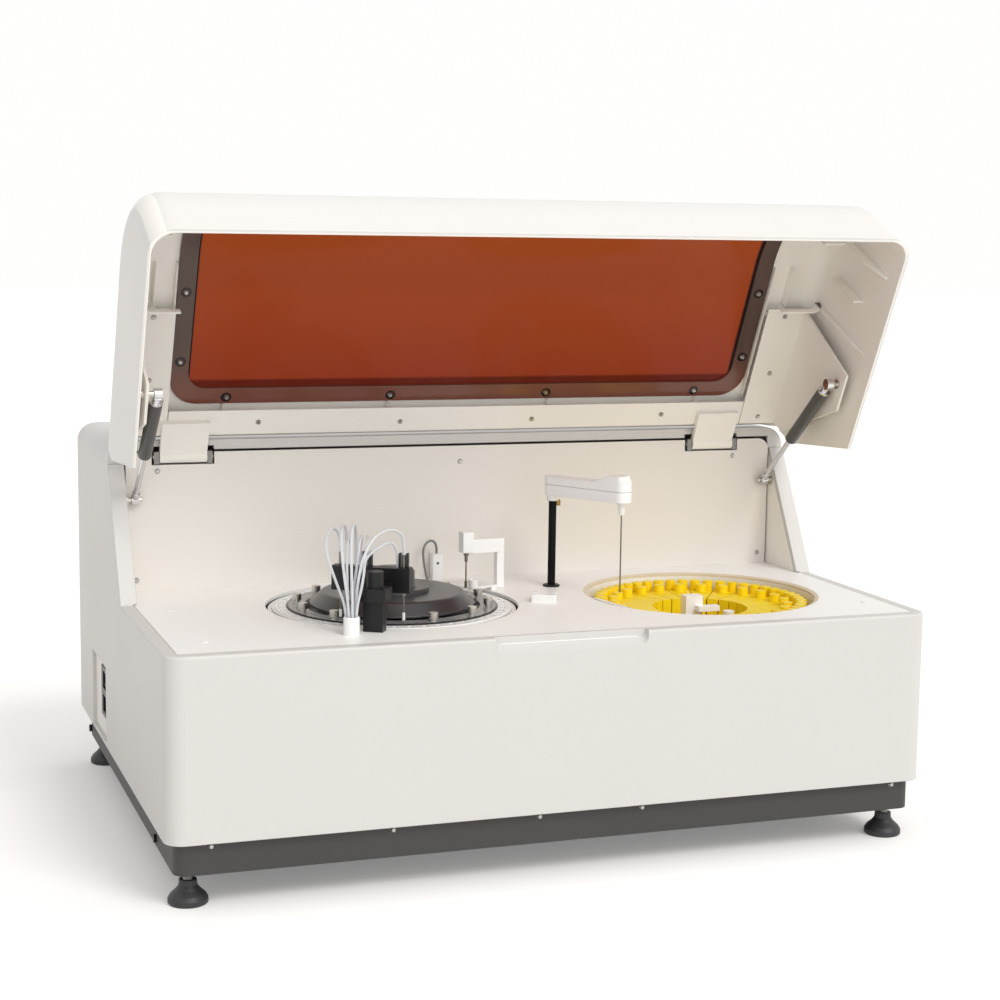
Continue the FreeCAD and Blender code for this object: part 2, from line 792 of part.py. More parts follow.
# Hinges: leaves on the lid, ears on the chassis, pins through both
leaf_low = hinge_z - 3
leaf_parts = []
for middle in hinge_middles:
    start = middle - leaf_half
    length = leaf_half * 2
    knuckle = cylinder(knuckle_radius, length, start, row(hinge_y), hinge_z, "x")
    strap = box((start, start + length), (row(liner_rear) - 20, row(hinge_y)),
                (leaf_low, hinge_z + 3))
    step = box((start, start + length), (row(liner_rear) - 20, row(liner_rear) - 2),
               (hinge_z, liner_level - sheet_thickness))
    bore = cylinder(pin_radius + running_gap, length + 2, start - 1, row(hinge_y), hinge_z, "x")
    leaf_parts.append(cut(fuse(knuckle, strap, step), bore))
finish(swung_open(group(*leaf_parts)), "hinge_leaves")
ear_boxes = []
pin_bars = []
for middle in hinge_middles:
    low_end = middle - leaf_half
    high_end = middle + leaf_half
    bracket_web = box((low_end - ear_thickness - 0.5, high_end + ear_thickness + 0.5),
                      (row(hinge_y) + 12, row(hinge_y) + 16), (hinge_z - 60, hinge_z + 6))
    foot_web = box((low_end - ear_thickness - 0.5, high_end + ear_thickness + 0.5),
                   (row(back_wall_face) + sheet_thickness, row(hinge_y) + 16),
                   (hinge_z - 60, hinge_z - 56))
    ears = []
    for start in (low_end - ear_thickness - 0.5, high_end + 0.5):
        ears.append(box((start, start + ear_thickness), (row(hinge_y) - 4, row(hinge_y) + 13),
                        (hinge_z - 8, hinge_z + 6)))
    bore = cylinder(pin_radius, high_end - low_end + 30, low_end - 15, row(hinge_y), hinge_z, "x")
    ear_boxes.append(cut(fuse(bracket_web, foot_web, *ears), bore))
    pin_bars.append(cylinder(pin_radius, high_end - low_end + ear_thickness * 2 + 3,
                             low_end - ear_thickness - 1.5, row(hinge_y), hinge_z, "x"))
finish(group(*ear_boxes), "hinge_brackets")
finish(group(*pin_bars), "hinge_pins")

# Gas springs: rod below, barrel above, drawn along +Z and then leaned forward
away_y = upper_ball_y - hinge_y
away_z = upper_ball_z - hinge_z
open_ball_y = hinge_y + away_y * cosine(open_angle) + away_z * sine(open_angle)
open_ball_z = hinge_z - away_y * sine(open_angle) + away_z * cosine(open_angle)
span = math.hypot(open_ball_y - lower_ball_y, open_ball_z - lower_ball_z)
lean = math.degrees(math.atan2(lower_ball_y - open_ball_y, open_ball_z - lower_ball_z))
long_span = Size(span, "hypot(%s; %s)" % (formula(open_ball_y - lower_ball_y),
                                          formula(open_ball_z - lower_ball_z)))
for side, name in ((-1, "left"), (1, "right")):
    eye = cylinder(socket_radius, socket_half * 2, -socket_half, 0.0, 0.0, "x")
    hole = cylinder(ball_stud_radius + running_gap, socket_half * 2 + 2, -socket_half - 1, 0.0, 0.0, "x")
    neck = cylinder(4.2, 9.0, 0.0, 0.0, socket_radius - 1)
    shaft = cylinder(spring_rod_radius, long_span - barrel_length + 20, 0.0, 0.0, socket_radius)
    rod_half = cut(fuse(eye, neck, shaft), hole)
    put(rod_half, side * spring_x, row(lower_ball_y), lower_ball_z, Turn(Vector(1, 0, 0), lean))
    finish(rod_half, "spring_rod_" + name)
    top_eye = cylinder(socket_radius, socket_half * 2, -socket_half, 0.0, long_span, "x")
    top_neck = cylinder(4.2, 10.0, 0.0, 0.0, long_span - socket_radius - 8)
    barrel = cylinder(barrel_radius, barrel_length, 0.0, 0.0, long_span - barrel_length - 12)
    bore = cylinder(spring_rod_radius + running_gap, barrel_length - 6, 0.0, 0.0,
                    long_span - barrel_length - 13)
    barrel_half = cut(fuse(top_eye, top_neck, barrel), bore)
    put(barrel_half, side * spring_x, row(lower_ball_y), lower_ball_z, Turn(Vector(1, 0, 0), lean))
    finish(barrel_half, "spring_barrel_" + name)
lower_stud = fuse(
    cylinder(ball_stud_radius, wing_inside - running_gap - spring_x + 8, spring_x - 8,
             row(lower_ball_y), lower_ball_z, "x"),
    cylinder(back_wall_face - lower_ball_y - running_gap, 2.0, wing_inside - running_gap - 2,
             row(lower_ball_y), lower_ball_z, "x"))
finish(group(lower_stud, mirrored(lower_stud)), "spring_lower_studs")

# Reaction station: a fixed tub, a turning rotor with clear cuvette ring, a fixed cover
tub_outer = ring_hole + tub_wall + 4
tub = turned([
    (0.0, tub_floor - tub_wall), (tub_outer - 4, tub_floor - tub_wall), (tub_outer - 4, deck_under - 3),
    (tub_outer + 4, deck_under - 3), (tub_outer + 4, deck_under), (ring_hole + 2, deck_under),
    (ring_hole + 2, tub_floor), (22.0, tub_floor), (22.0, 236.0), (14.0, 236.0),
    (14.0, cone_base + 6), (0.0, cone_base + 6),
], ring_x, row(ring_y))
finish(tub, "reaction_tub")
rotor = turned([
    (14.6, 237.0), (30.0, 237.0), (30.0, 247.0), (rotor_radius, 247.0), (rotor_radius, 252.0),
    (14.6, 252.0),
], ring_x, row(ring_y))
stud_length = ring_top + thumb_nut_height - 251.5
rotor_studs = [cylinder(2.0, stud_length, ring_x + nut_circle * cosine(8 + 30 * Size(n, str(n))),
                        row(ring_y) + nut_circle * sine(8 + 30 * Size(n, str(n))), 251.0)
               for n in range(int(thumb_nut_count))]
finish(fuse(rotor, *rotor_studs), "reaction_rotor")
clear_ring = turned([
    (ring_inner, 252.0), (cuvette_circle + 8, 252.0), (cuvette_circle + 8, 254.0),
    (ring_outer, 254.0), (ring_outer, 256.5), (ring_outer - 4, 256.5), (ring_outer - 4, ring_top - 1),
    (cuvette_circle + 7, ring_top - 1), (cuvette_circle + 7, ring_top),
    (cuvette_circle - 7, ring_top), (cuvette_circle - 7, ring_top + 1.5), (ring_inner, ring_top + 1.5),
], ring_x, row(ring_y))
cuvette_angle = 360 / cuvette_count
cuvettes = []
mouths = []
for n in range(int(cuvette_count)):
    turn = Turn(UP, n * float(cuvette_angle))
    angle = cuvette_angle * n
    outer_block = doc.addObject("Part::Box", "cuvette")
    bind(outer_block, Length=10.0, Width=8.0, Height=26.0)
    put(outer_block, ring_x + (cuvette_circle - 5) * cosine(angle) + 4 * sine(angle),
        row(ring_y) + (cuvette_circle - 5) * sine(angle) - 4 * cosine(angle), 226.5, turn)
    cuvettes.append(outer_block)
    mouth = doc.addObject("Part::Box", "mouth")
    bind(mouth, Length=7.6, Width=5.6, Height=34.0)
    put(mouth, ring_x + (cuvette_circle - 3.8) * cosine(angle) + 2.8 * sine(angle),
        row(ring_y) + (cuvette_circle - 3.8) * sine(angle) - 2.8 * cosine(angle), 228.0, turn)
    mouths.append(mouth)
step_holes = [cylinder(2.3, 14.0, ring_x + nut_circle * cosine(8 + 30 * Size(n, str(n))),
                       row(ring_y) + nut_circle * sine(8 + 30 * Size(n, str(n))), 250.0)
              for n in range(int(thumb_nut_count))]
rotor_clear = cylinder(rotor_radius + 0.2, 40.0, ring_x, row(ring_y), 212.0)
cuvette_band = cut(group(*cuvettes), rotor_clear)
finish(cut(fuse(clear_ring, cuvette_band), *mouths, *step_holes), "cuvette_ring")
thumb_nuts = []
for n in range(int(thumb_nut_count)):
    angle = 8 + 30 * Size(n, str(n))
    x = ring_x + nut_circle * cosine(angle)
    y = row(ring_y) + nut_circle * sine(angle)
    foot = ring_top + 1.5
    nut_body = fuse(cylinder(thumb_nut_radius * 0.7, 2.5, x, y, foot),
                    cylinder(thumb_nut_radius, thumb_nut_height - 2, x, y, foot + 2))
    thumb_nuts.append(cut(nut_body, cylinder(2.0, thumb_nut_height, x, y, foot - 1)))
finish(group(*thumb_nuts), "thumb_nuts")
cover = turned([
    (14.0 + running_gap, cone_base), (cone_base_radius, cone_base), (cone_base_radius, cone_base + 2),
    (cone_top_radius + 1.5, cone_top - 1), (cone_top_radius - 1, cone_top),
    (0.0, cone_top), (0.0, cone_base + 6), (14.0 + running_gap, cone_base + 6),
], ring_x, row(ring_y))
finish(cover, "reaction_cover")
drum = turned([
    (0.0, cone_top), (drum_flange_radius, cone_top), (drum_flange_radius, drum_flange_top - 1),
    (drum_flange_radius - 1, drum_flange_top), (drum_radius + 3, drum_flange_top),
    (drum_radius, drum_flange_top + 3), (drum_radius, drum_top - 3), (drum_radius - 3, drum_top),
    (0.0, drum_top),
], ring_x, row(ring_y))
finish(drum, "cover_drum")


# Wash station, drawn along its beam from the ring's centre and then turned
def at_ring(thing):
    return put(thing, ring_x, row(ring_y), 0.0, Turn(UP, float(wash_turn)))


column_y = -column_reach
column_half = column_side / 2
column = box((column_along - column_half, column_along + column_half),
             (column_y - 7, column_y + 7), (deck_top, column_top))
column_bore = cylinder(4.0 + running_gap, 40.0, column_along, column_y, deck_top + 4)
finish(at_ring(cut(column, column_bore)), "wash_column")
beam = box((beam_start, beam_end), (-wash_reach - beam_thickness / 2, -wash_reach + beam_thickness / 2),
           (beam_bottom, beam_bottom + beam_height))
carriage = box((column_along - 15, column_along + 15), (column_y - 12.5, column_y + 12.5),
               (column_top + running_gap, column_top + 14))
link = box((column_along - 7, column_along + 7), (column_y, -wash_reach),
           (beam_bottom + 1, column_top + 12))
guide = cylinder(4.0, 34.0, column_along, column_y, deck_top + 6)
knob = cylinder(knob_radius, 18.0, column_along, column_y, column_top + 13)
nozzle_places = [-27.0, 3.0, 43.0]
forks = []
for x in nozzle_places[1:]:
    for shift in (-5.0, 3.0):
        forks.append(box((x + shift, x + shift + 2), (-wash_reach - 3, -wash_reach + 3),
                         (beam_bottom + beam_height - 1, beam_bottom + beam_height + 16)))
nozzle_holes = [cylinder(2.0, beam_height + 4, x, -wash_reach, beam_bottom - 2) for x in nozzle_places]
finish(at_ring(cut(fuse(beam, carriage, link, guide, knob, *forks), *nozzle_holes)), "wash_head")
needles = []
for x in nozzle_places:
    nozzle = cylinder(2.0, beam_height + 18, x, -wash_reach, beam_bottom - 4)
    needle = cylinder(0.8, 28.0, x, -wash_reach, beam_bottom - 29)
    tip = cylinder(1.6, 8.0, x, -wash_reach, beam_bottom - 30)
    needles.append(fuse(nozzle, needle, tip))
finish(at_ring(group(*needles)), "wash_needles")

# White sleeve on the deck that the wash tubes slide through
sleeve = turned([
    (sleeve_radius - 1.8, deck_top), (sleeve_radius, deck_top), (sleeve_radius, sleeve_top - 1),
    (sleeve_radius - 0.8, sleeve_top), (sleeve_radius - 1.8, sleeve_top),
], sleeve_x, row(sleeve_y))
finish(sleeve, "tube_sleeve")


def smooth_path(points):
    """Straight runs joined by arcs as large as the runs beside each turn allow."""
    corners = [Vector(*[float(value) for value in point]) for point in points]
    edges = []
    start = corners[0]
    for before, corner, after in zip(corners, corners[1:], corners[2:]):
        run_in = corner - before
        run_out = after - corner
        turn = run_in.getAngle(run_out)
        reach = 0.45 * min(run_in.Length, run_out.Length)
        along_in = Vector(run_in).normalize()
        along_out = Vector(run_out).normalize()
        radius = reach / math.tan(turn / 2)
        radii.append(radius)
        entry = corner - along_in * reach
        leave = corner + along_out * reach
        inward = (along_out - along_in).normalize()
        middle = corner + inward * (radius / math.cos(turn / 2) - radius)
        edges.append(Part.LineSegment(start, entry).toShape())
        edges.append(Part.Arc(entry, middle, leave).toShape())
        start = leave
    edges.append(Part.LineSegment(start, corners[-1]).toShape())
    return Part.Wire(edges)


def hose(points, radius):
    """A round tube swept along a smooth path."""
    path = smooth_path(points)
    first = path.Edges[0]
    ring = Part.Wire(Part.makeCircle(float(radius), first.Vertexes[0].Point,
                                     first.tangentAt(first.FirstParameter)))
    tube = path.makePipeShell([ring], True, False)
    error = abs(tube.Volume / (math.pi * float(radius) ** 2 * path.Length) - 1)
    print("tube length %.0f mm, volume error %.2f %%" % (path.Length, error * 100))
    return tube


radii = []

# Translucent tubes from the sleeve up and over to the nozzles and the beam
# Each route: place in the sleeve, corners behind the front panel, place along the beam
def on_beam(along):
    """A point over the beam's middle line, in the part's frame."""
    turn = math.radians(float(wash_turn))
    return (float(ring_x) + along * math.cos(turn) + float(wash_reach) * math.sin(turn),
            float(row(ring_y)) + along * math.sin(turn) - float(wash_reach) * math.cos(turn))


def tube_route(around, corners, along, landing):
    """Rises from the sleeve, passes the corners and drops onto the beam."""
    turn = math.radians(around)
    spread = float(sleeve_radius) - 4.4
    foot_x = float(sleeve_x) + spread * math.cos(turn)
    foot_y = float(row(sleeve_y)) + spread * math.sin(turn)
    end_x, end_y = on_beam(along)
    points = [(foot_x, foot_y, float(deck_top) - 20), (foot_x, foot_y, 284)]
    points += [(x, float(row(y)), z) for x, y, z in corners]
    points += [(end_x, end_y, landing + 16), (end_x, end_y, landing)]
    return points


nozzle_top = float(beam_bottom + beam_height) + 14
beam_top = float(beam_bottom + beam_height)
tube_routes = [
    tube_route(180, [(-235, 74, 313), (-241, 88, 338), (-238, 106, 356), (-224, 126, 364)],
               nozzle_places[0], nozzle_top),
    tube_route(0, [(-214, 64, 322), (-205, 68, 346), (-193, 76, 359), (-177, 84, 365),
                   (-161, 94, 360)], nozzle_places[2], nozzle_top),
    tube_route(45, [(-213, 69, 316), (-203, 79, 335), (-186, 88, 346), (-168, 97, 350)], 36.0, beam_top),
    tube_route(315, [(-211, 58, 312), (-204, 73, 338), (-195, 94, 358)], nozzle_places[1], nozzle_top),
    tube_route(225, [(-230, 64, 327), (-229, 78, 360), (-221, 98, 371), (-212, 120, 360)], -20.0, beam_top),
    tube_route(270, [(-223, 58, 327), (-219, 74, 364), (-211, 92, 372), (-202, 118, 358)], -10.0, beam_top),
    tube_route(90, [(-213, 75, 325), (-206, 88, 352), (-199, 104, 357), (-196, 118, 346)], -5.0, beam_top),
    tube_route(135, [(-223, 76, 325), (-219, 92, 349), (-212, 110, 354), (-205, 126, 344)], -15.0, beam_top),
]
tube_solids = [hose(points, tube_radius) for points in tube_routes]
wash_tubes = doc.addObject("Part::Feature", "wash_tubes")
wash_tubes.Shape = Part.makeCompound(tube_solids)
finish(wash_tubes, "wash_tubes")

# Sensor box behind the ring, with its grey cable looping down to the deck
box_x = Size(-38, "(0 - 38)")
box_y = row(back_wall_face) - 16
sensor = box((box_x - 6.5, box_x + 6.5), (box_y, box_y + 12), (deck_top, deck_top + 31))
sensor = rounded(sensor, 1.5, upright)
finish(sensor, "sensor_box")
sx = float(box_x)
sy = float(box_y)
cable_points = [
    (sx, sy + 6, 291), (sx, sy + 4, 303), (sx - 9, sy + 2, 309), (sx - 19, sy, 301), (sx - 18, sy, 280),
    (sx - 13, sy, float(deck_top)),
]
cable = doc.addObject("Part::Feature", "sensor_cable")
cable.Shape = hose(cable_points, cable_radius)
finish(cable, "sensor_cable")


# Mixer: a square post with an arm, on a shaft that lifts it
def at_mixer(thing):
    return put(thing, mixer_x, row(mixer_y), 0.0, Turn(UP, float(mixer_turn)))


mixer_half = mixer_post_side / 2
mixer_post = box((-mixer_half, mixer_half), (-mixer_half, mixer_half),
                 (deck_top + running_gap, mixer_arm_top))
mixer_bar = box((0.0, mixer_reach), (-6.0, 6.0), (mixer_arm_bottom, mixer_arm_top))
mixer_head = box((mixer_reach - 7, mixer_reach + 7), (-7.0, 7.0), (mixer_arm_bottom + 1, mixer_head_top))
mixer_head = rounded(mixer_head, 1.2, upright)
mixer_body = fuse(mixer_post, mixer_bar, mixer_head)
mixer_bore = cylinder(2.0 + running_gap, 42.0, 0.0, 0.0, deck_top - 2)
paddle_bore = cylinder(1.5 + running_gap, 12.0, mixer_reach, 0.0, mixer_arm_bottom - 1)
finish(at_mixer(cut(mixer_body, mixer_bore, paddle_bore)), "mixer_arm")
mixer_shaft = fuse(cylinder(2.0, 76.0, mixer_x, row(mixer_y), 222.0),
                   cylinder(6.0, 14.0, mixer_x, row(mixer_y), 210.0))
finish(mixer_shaft, "mixer_shaft")
paddle = fuse(cylinder(1.5, 10.0, mixer_reach, 0.0, mixer_arm_bottom - 1),
              cylinder(3.0, 3.0, mixer_reach, 0.0, mixer_arm_bottom - 3),
              cylinder(2.0, 8.0, mixer_reach, 0.0, mixer_arm_bottom - 10),
              cylinder(0.9, mixer_arm_bottom - 10 - paddle_bottom, mixer_reach, 0.0, paddle_bottom + 1),
              box((mixer_reach - 1.8, mixer_reach + 1.8), (-0.4, 0.4), (paddle_bottom, paddle_bottom + 8)))
finish(at_mixer(paddle), "mixer_paddle")


# Sample arm: black post that lifts, white arm that swings, probe under its tip
def at_post(thing):
    return put(thing, post_x, row(post_y), 0.0, Turn(UP, float(arm_turn)))


side_profile = [
    (-arm_half_width - 1, arm_bottom), (arm_reach + arm_tip_radius + 1, arm_bottom),
    (arm_reach + arm_tip_radius + 1, arm_top - 5), (arm_reach + 2, arm_top + arm_hump - 1),
    (arm_reach - 8, arm_top + arm_hump), (arm_reach - 18, arm_top + arm_hump - 3),
    (arm_reach - 34, arm_top), (-arm_half_width - 1, arm_top),
]
arm_side = slab("xz", side_profile, arm_tip_radius * 2 + 4, -arm_tip_radius - 2)
arm_plan = fuse(
    slab("xy", [(0.0, -arm_half_width), (arm_reach, -arm_tip_radius), (arm_reach, arm_tip_radius),
                (0.0, arm_half_width)], 60.0, arm_bottom - 10),
    cylinder(arm_half_width, 60.0, 0.0, 0.0, arm_bottom - 10),
    cylinder(arm_tip_radius, 60.0, arm_reach, 0.0, arm_bottom - 10))
arm_collar = cylinder(6.0, 8.0, 0.0, 0.0, arm_bottom - 7)
arm_bore = cylinder(post_radius + running_gap, 18.0, 0.0, 0.0, arm_bottom - 8)
arm_hollow = cylinder(2.5, 10.0, arm_reach, 0.0, arm_bottom - 1)
arm_collar_wide = cylinder(post_radius + 2.2, 8.0, 0.0, 0.0, arm_bottom - 7)
finish(at_post(cut(fuse(common(arm_side, arm_plan), arm_collar, arm_collar_wide), arm_bore, arm_hollow)),
       "sample_arm")
finish(cylinder(post_radius, arm_bottom + 8 - 190, post_x, row(post_y), 190.0), "sample_post")
holder_top = arm_bottom
probe = fuse(cone(3.2, 5.0, holder_length, arm_reach, 0.0, holder_top - holder_length),
             cylinder(2.5, 9.0, arm_reach, 0.0, holder_top),
             cylinder(probe_radius, holder_top - holder_length + 1 - probe_bottom, arm_reach, 0.0,
                      probe_bottom))
finish(at_post(probe), "sample_probe")
collar = turned([
    (post_radius + running_gap, deck_top), (10.0, deck_top), (10.0, deck_top + 1.6),
    (8.5, deck_top + 2.6), (post_radius + running_gap, deck_top + 2.6),
], post_x, row(post_y))
finish(collar, "post_collar")

# Wash pots: a cup beside the mixer and a slotted block on the probe's sweep
cup_x = ring_x + 118.5 * cosine(21.8)
cup_y = row(ring_y) + 118.5 * sine(21.8)
bridge = doc.addObject("Part::Box", "bridge")
bind(bridge, Length=34.0, Width=8.0, Height=2.0)
put(bridge, cup_x + 1.5, cup_y - 3.4, deck_top + 4, Turn(UP, 21.8))
bridge_foot = doc.addObject("Part::Box", "bridge_foot")
bind(bridge_foot, Length=8.0, Width=8.0, Height=5.0)
put(bridge_foot, ring_x + 143.5 * cosine(21.8) + 1.5, row(ring_y) + 143.5 * sine(21.8) - 3.7,
    deck_top, Turn(UP, 21.8))
cup = fuse(cylinder(5.5, 11.0, cup_x, cup_y, deck_top + 4), bridge, bridge_foot)
cup = cut(cup, cylinder(4.0, 9.0, cup_x, cup_y, deck_top + 7))
block_angle = -115.5
block = box((arm_reach - 11, arm_reach + 11), (-14.0, 14.0), (deck_top, deck_top + 9.5))
block = rounded(block, 2.0, upright)
sweep_ring = cut(cylinder(arm_reach + 2.2, 9.0, 0.0, 0.0, deck_top + 3.2),
                 cylinder(arm_reach - 2.2, 12.0, 0.0, 0.0, deck_top + 2))
pot_block = put(cut(block, sweep_ring), post_x, row(post_y), 0.0, Turn(UP, block_angle))
finish(group(cup, pot_block), "wash_pots")

# Reagent station: a white well, a turning tray with bottles, a centre handle
well_radius = tray_hole - tray_bevel
well = turned([
    (0.0, well_floor - well_wall), (well_radius + well_wall, well_floor - well_wall),
    (well_radius + well_wall, deck_under - 3), (well_radius + 9, deck_under - 3),
    (well_radius + 9, deck_under), (well_radius - 1, deck_under), (well_radius - 1, well_floor),
    (12.0, well_floor), (12.0, well_floor + 4), (0.0, well_floor + 4),
], tray_x, row(tray_y))
insert_plate = cylinder(well_radius - 0.3, 5.5, tray_x, row(tray_y), deck_under - 2)
insert_keep = doc.addObject("Part::Box", "insert_keep")
bind(insert_keep, Length=20.0, Width=150.0, Height=12.0)
put(insert_keep, tray_x + insert_reach * cosine(insert_turn) + 75 * sine(insert_turn),
    row(tray_y) + insert_reach * sine(insert_turn) - 75 * cosine(insert_turn), deck_under - 4,
    Turn(UP, insert_turn))
finish(fuse(well, common(insert_plate, insert_keep)), "reagent_well")
tray = turned([
    (0.0, well_floor + 4.3), (tray_radius, well_floor + 4.3), (tray_radius, well_floor + 16),
    (tray_radius - 1.5, well_floor + 16), (tray_radius - 1.5, bottle_bottom),
    (bottle_inner - 1, bottle_bottom), (bottle_inner - 1, bottle_bottom + 14),
    (bottle_inner - 3, bottle_bottom + 14), (bottle_inner - 3, bottle_bottom), (0.0, bottle_bottom),
], tray_x, row(tray_y))
finish(tray, "reagent_tray")
bottle_angle = 360 / bottle_count
wedge_half = math.tan(math.radians(float(bottle_angle) / 2))
inner_half = bottle_inner * wedge_half - bottle_gap
outer_half = bottle_outer * wedge_half - bottle_gap
bottles = []
caps = []
for n in range(int(bottle_count)):
    spot = bottle_angle * n + 4
    wedge = slab("xy", [(bottle_inner, -inner_half), (bottle_outer * 0.985, -outer_half),
                        (bottle_outer * 0.985, outer_half), (bottle_inner, inner_half)],
                 bottle_top - bottle_bottom, bottle_bottom)
    put(wedge, tray_x, row(tray_y), 0.0, Turn(UP, float(spot)))
    bottles.append(wedge)
    for circle, shift in ((outer_cap_circle, -0.25), (outer_cap_circle, 0.25), (inner_cap_circle, 0.0)):
        angle = spot + bottle_angle * shift
        lower = 0.0 if shift else 2.0
        caps.append(cylinder(cap_radius, cap_height - lower, tray_x + circle * cosine(angle),
                             row(tray_y) + circle * sine(angle), bottle_top))
finish(group(*bottles), "reagent_bottles")
finish(group(*caps), "bottle_caps")
handle = fuse(
    cylinder(14.0, 30.0, tray_x, row(tray_y), bottle_bottom),
    box((tray_x - 21, tray_x + 0.5), (row(tray_y) - 7, row(tray_y) + 7), (bottle_bottom, handle_top)),
    box((tray_x - 9, tray_x + 18), (row(tray_y) - 16, row(tray_y) - 7), (handle_top - 17.5, handle_top - 11)),
    cylinder(6.5, handle_top - bottle_bottom - 18.5, tray_x + 31.5, row(tray_y) - 12, bottle_bottom))
finish(handle, "tray_handle")

# Drive motors under the wells and the power supply on the chassis
motors = []
for x, y, under in ((ring_x, ring_y, tub_floor - tub_wall), (tray_x, tray_y, well_floor - well_wall)):
    motors.append(box((x - motor_side / 2, x + motor_side / 2),
                      (row(y) - motor_side / 2, row(y) + motor_side / 2), (under - motor_height, under)))
    motors.append(cylinder(10.0, under - motor_height - chassis_top, x, row(y), chassis_top))
finish(group(*[fuse(motors[0], motors[1]), fuse(motors[2], motors[3])]), "drive_motors")
supply = box((-supply_length / 2 + 60, supply_length / 2 + 60),
             (half_depth - 30 - supply_depth, half_depth - 30), (chassis_top, chassis_top + supply_height))
finish(supply, "power_supply")

# Checks and files
doc.recompute()
for thing in doc.Objects:
    states = set(thing.State)
    if "Invalid" in states or "Error" in states:
        raise RuntimeError("%s failed: %s" % (thing.Label, sorted(states)))
os.makedirs("parts", exist_ok=True)
for thing in finished:
    shape = thing.Shape
    if shape.isNull() or not shape.isValid() or not shape.Solids:
        raise RuntimeError("%s has no valid solid" % thing.Label)
    shape.exportStep(os.path.join("parts", thing.Label + ".step"))
    print("%-22s solids %3d  volume %10.0f" % (thing.Label, len(shape.Solids), shape.Volume))
print("tube radii %.1f to %.1f mm" % (min(radii), max(radii)))
print("%d pieces" % len(finished))
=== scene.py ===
# %% [markdown]
# A bench chemistry analyzer with its lid held open
#
# The machine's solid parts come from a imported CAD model, which is loaded here as a
# fixed frame. This lesson dresses them: it sets the camera and the light of the
# photograph, adds the soft tubes and small fittings, and builds each finish from nodes.
# Everything is in metres. X runs to the right, -Y is the front, and Z is up from the floor.

# %% Load the frame
import math
import bmesh
import bpy
from mathutils import Matrix, Vector


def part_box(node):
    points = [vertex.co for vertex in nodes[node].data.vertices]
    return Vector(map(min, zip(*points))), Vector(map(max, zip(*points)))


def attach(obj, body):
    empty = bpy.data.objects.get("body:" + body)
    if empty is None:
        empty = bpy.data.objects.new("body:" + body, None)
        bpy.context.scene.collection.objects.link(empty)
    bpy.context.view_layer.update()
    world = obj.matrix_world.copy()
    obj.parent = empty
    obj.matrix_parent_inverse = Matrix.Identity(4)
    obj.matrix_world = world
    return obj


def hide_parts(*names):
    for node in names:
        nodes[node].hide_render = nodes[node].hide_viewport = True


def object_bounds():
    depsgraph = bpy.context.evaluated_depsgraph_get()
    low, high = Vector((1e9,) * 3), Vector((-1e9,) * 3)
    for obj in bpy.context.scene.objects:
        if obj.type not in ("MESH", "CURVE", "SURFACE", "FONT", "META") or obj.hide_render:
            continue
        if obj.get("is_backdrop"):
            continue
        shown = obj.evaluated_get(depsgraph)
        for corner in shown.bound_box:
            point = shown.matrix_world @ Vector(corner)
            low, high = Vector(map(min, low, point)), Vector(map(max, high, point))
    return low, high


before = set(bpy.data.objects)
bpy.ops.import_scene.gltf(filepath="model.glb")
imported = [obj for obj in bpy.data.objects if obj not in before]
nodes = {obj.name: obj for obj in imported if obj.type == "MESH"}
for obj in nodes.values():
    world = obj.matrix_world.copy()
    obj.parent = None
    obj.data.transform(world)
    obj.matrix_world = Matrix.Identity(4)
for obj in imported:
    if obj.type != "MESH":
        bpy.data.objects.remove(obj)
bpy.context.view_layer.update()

# %% [markdown]
# Two small measures are used all over this file. Drawings of the machine count millimetres
# and measure depth from the front panel, so one helper turns both into frame metres.
# Colours are picked as hex values on a screen, which are sRGB, and nodes want linear
# values, so a second helper turns one into the other.

# %% Measures and colours
MM = 0.001
CASING_DEPTH = 620


def spot(x, behind_front, z):
    """A point in frame metres from millimetres and a distance behind the front panel."""
    return Vector((x * MM, (behind_front - CASING_DEPTH / 2) * MM, z * MM))


def colour(hex_value):
    """A screen colour such as #E3E1DD as the linear values that nodes take."""
    channels = [int(hex_value[i:i + 2], 16) / 255 for i in (1, 3, 5)]
    linear = [c / 12.92 if c <= 0.04045 else ((c + 0.055) / 1.055) ** 2.4 for c in channels]
    return (*linear, 1.0)


print("mid grey #808080 is", round(colour("#808080")[0], 3), "in linear light")

# %% [markdown]
# The camera comes first, because it decides what has to hold up to a close look.
# The photograph was taken from the front left, a little above the lid's pivot, with a
# long lens, so the vertical edges lean only slightly. The place and the angles below
# were found by matching the corners of the casing in the photograph.

# %% Camera
bpy.ops.object.select_all(action="DESELECT")
bpy.ops.object.camera_add(location=(-0.7444, -2.1709, 0.6701),
                          rotation=[math.radians(angle) for angle in (82.308, -0.765, -19.456)])
camera = bpy.context.active_object
camera.name = "photo_camera"
camera.data.lens = 70.72
camera.data.sensor_width = 36.0
camera.data.clip_start = 0.05
camera.data.clip_end = 60.0
bpy.context.scene.camera = camera
print("camera lens", camera.data.lens, "mm")

# %% [markdown]
# The wash station is fed by soft translucent tubes. They leave the white sleeve in the
# deck in a bundle, fan out as they rise, and bend over onto the nozzles and the beam.
# Each is one NURBS curve through a handful of corner points. The curve cuts inside
# every corner, as a springy tube does, and a round bevel gives it its wall.


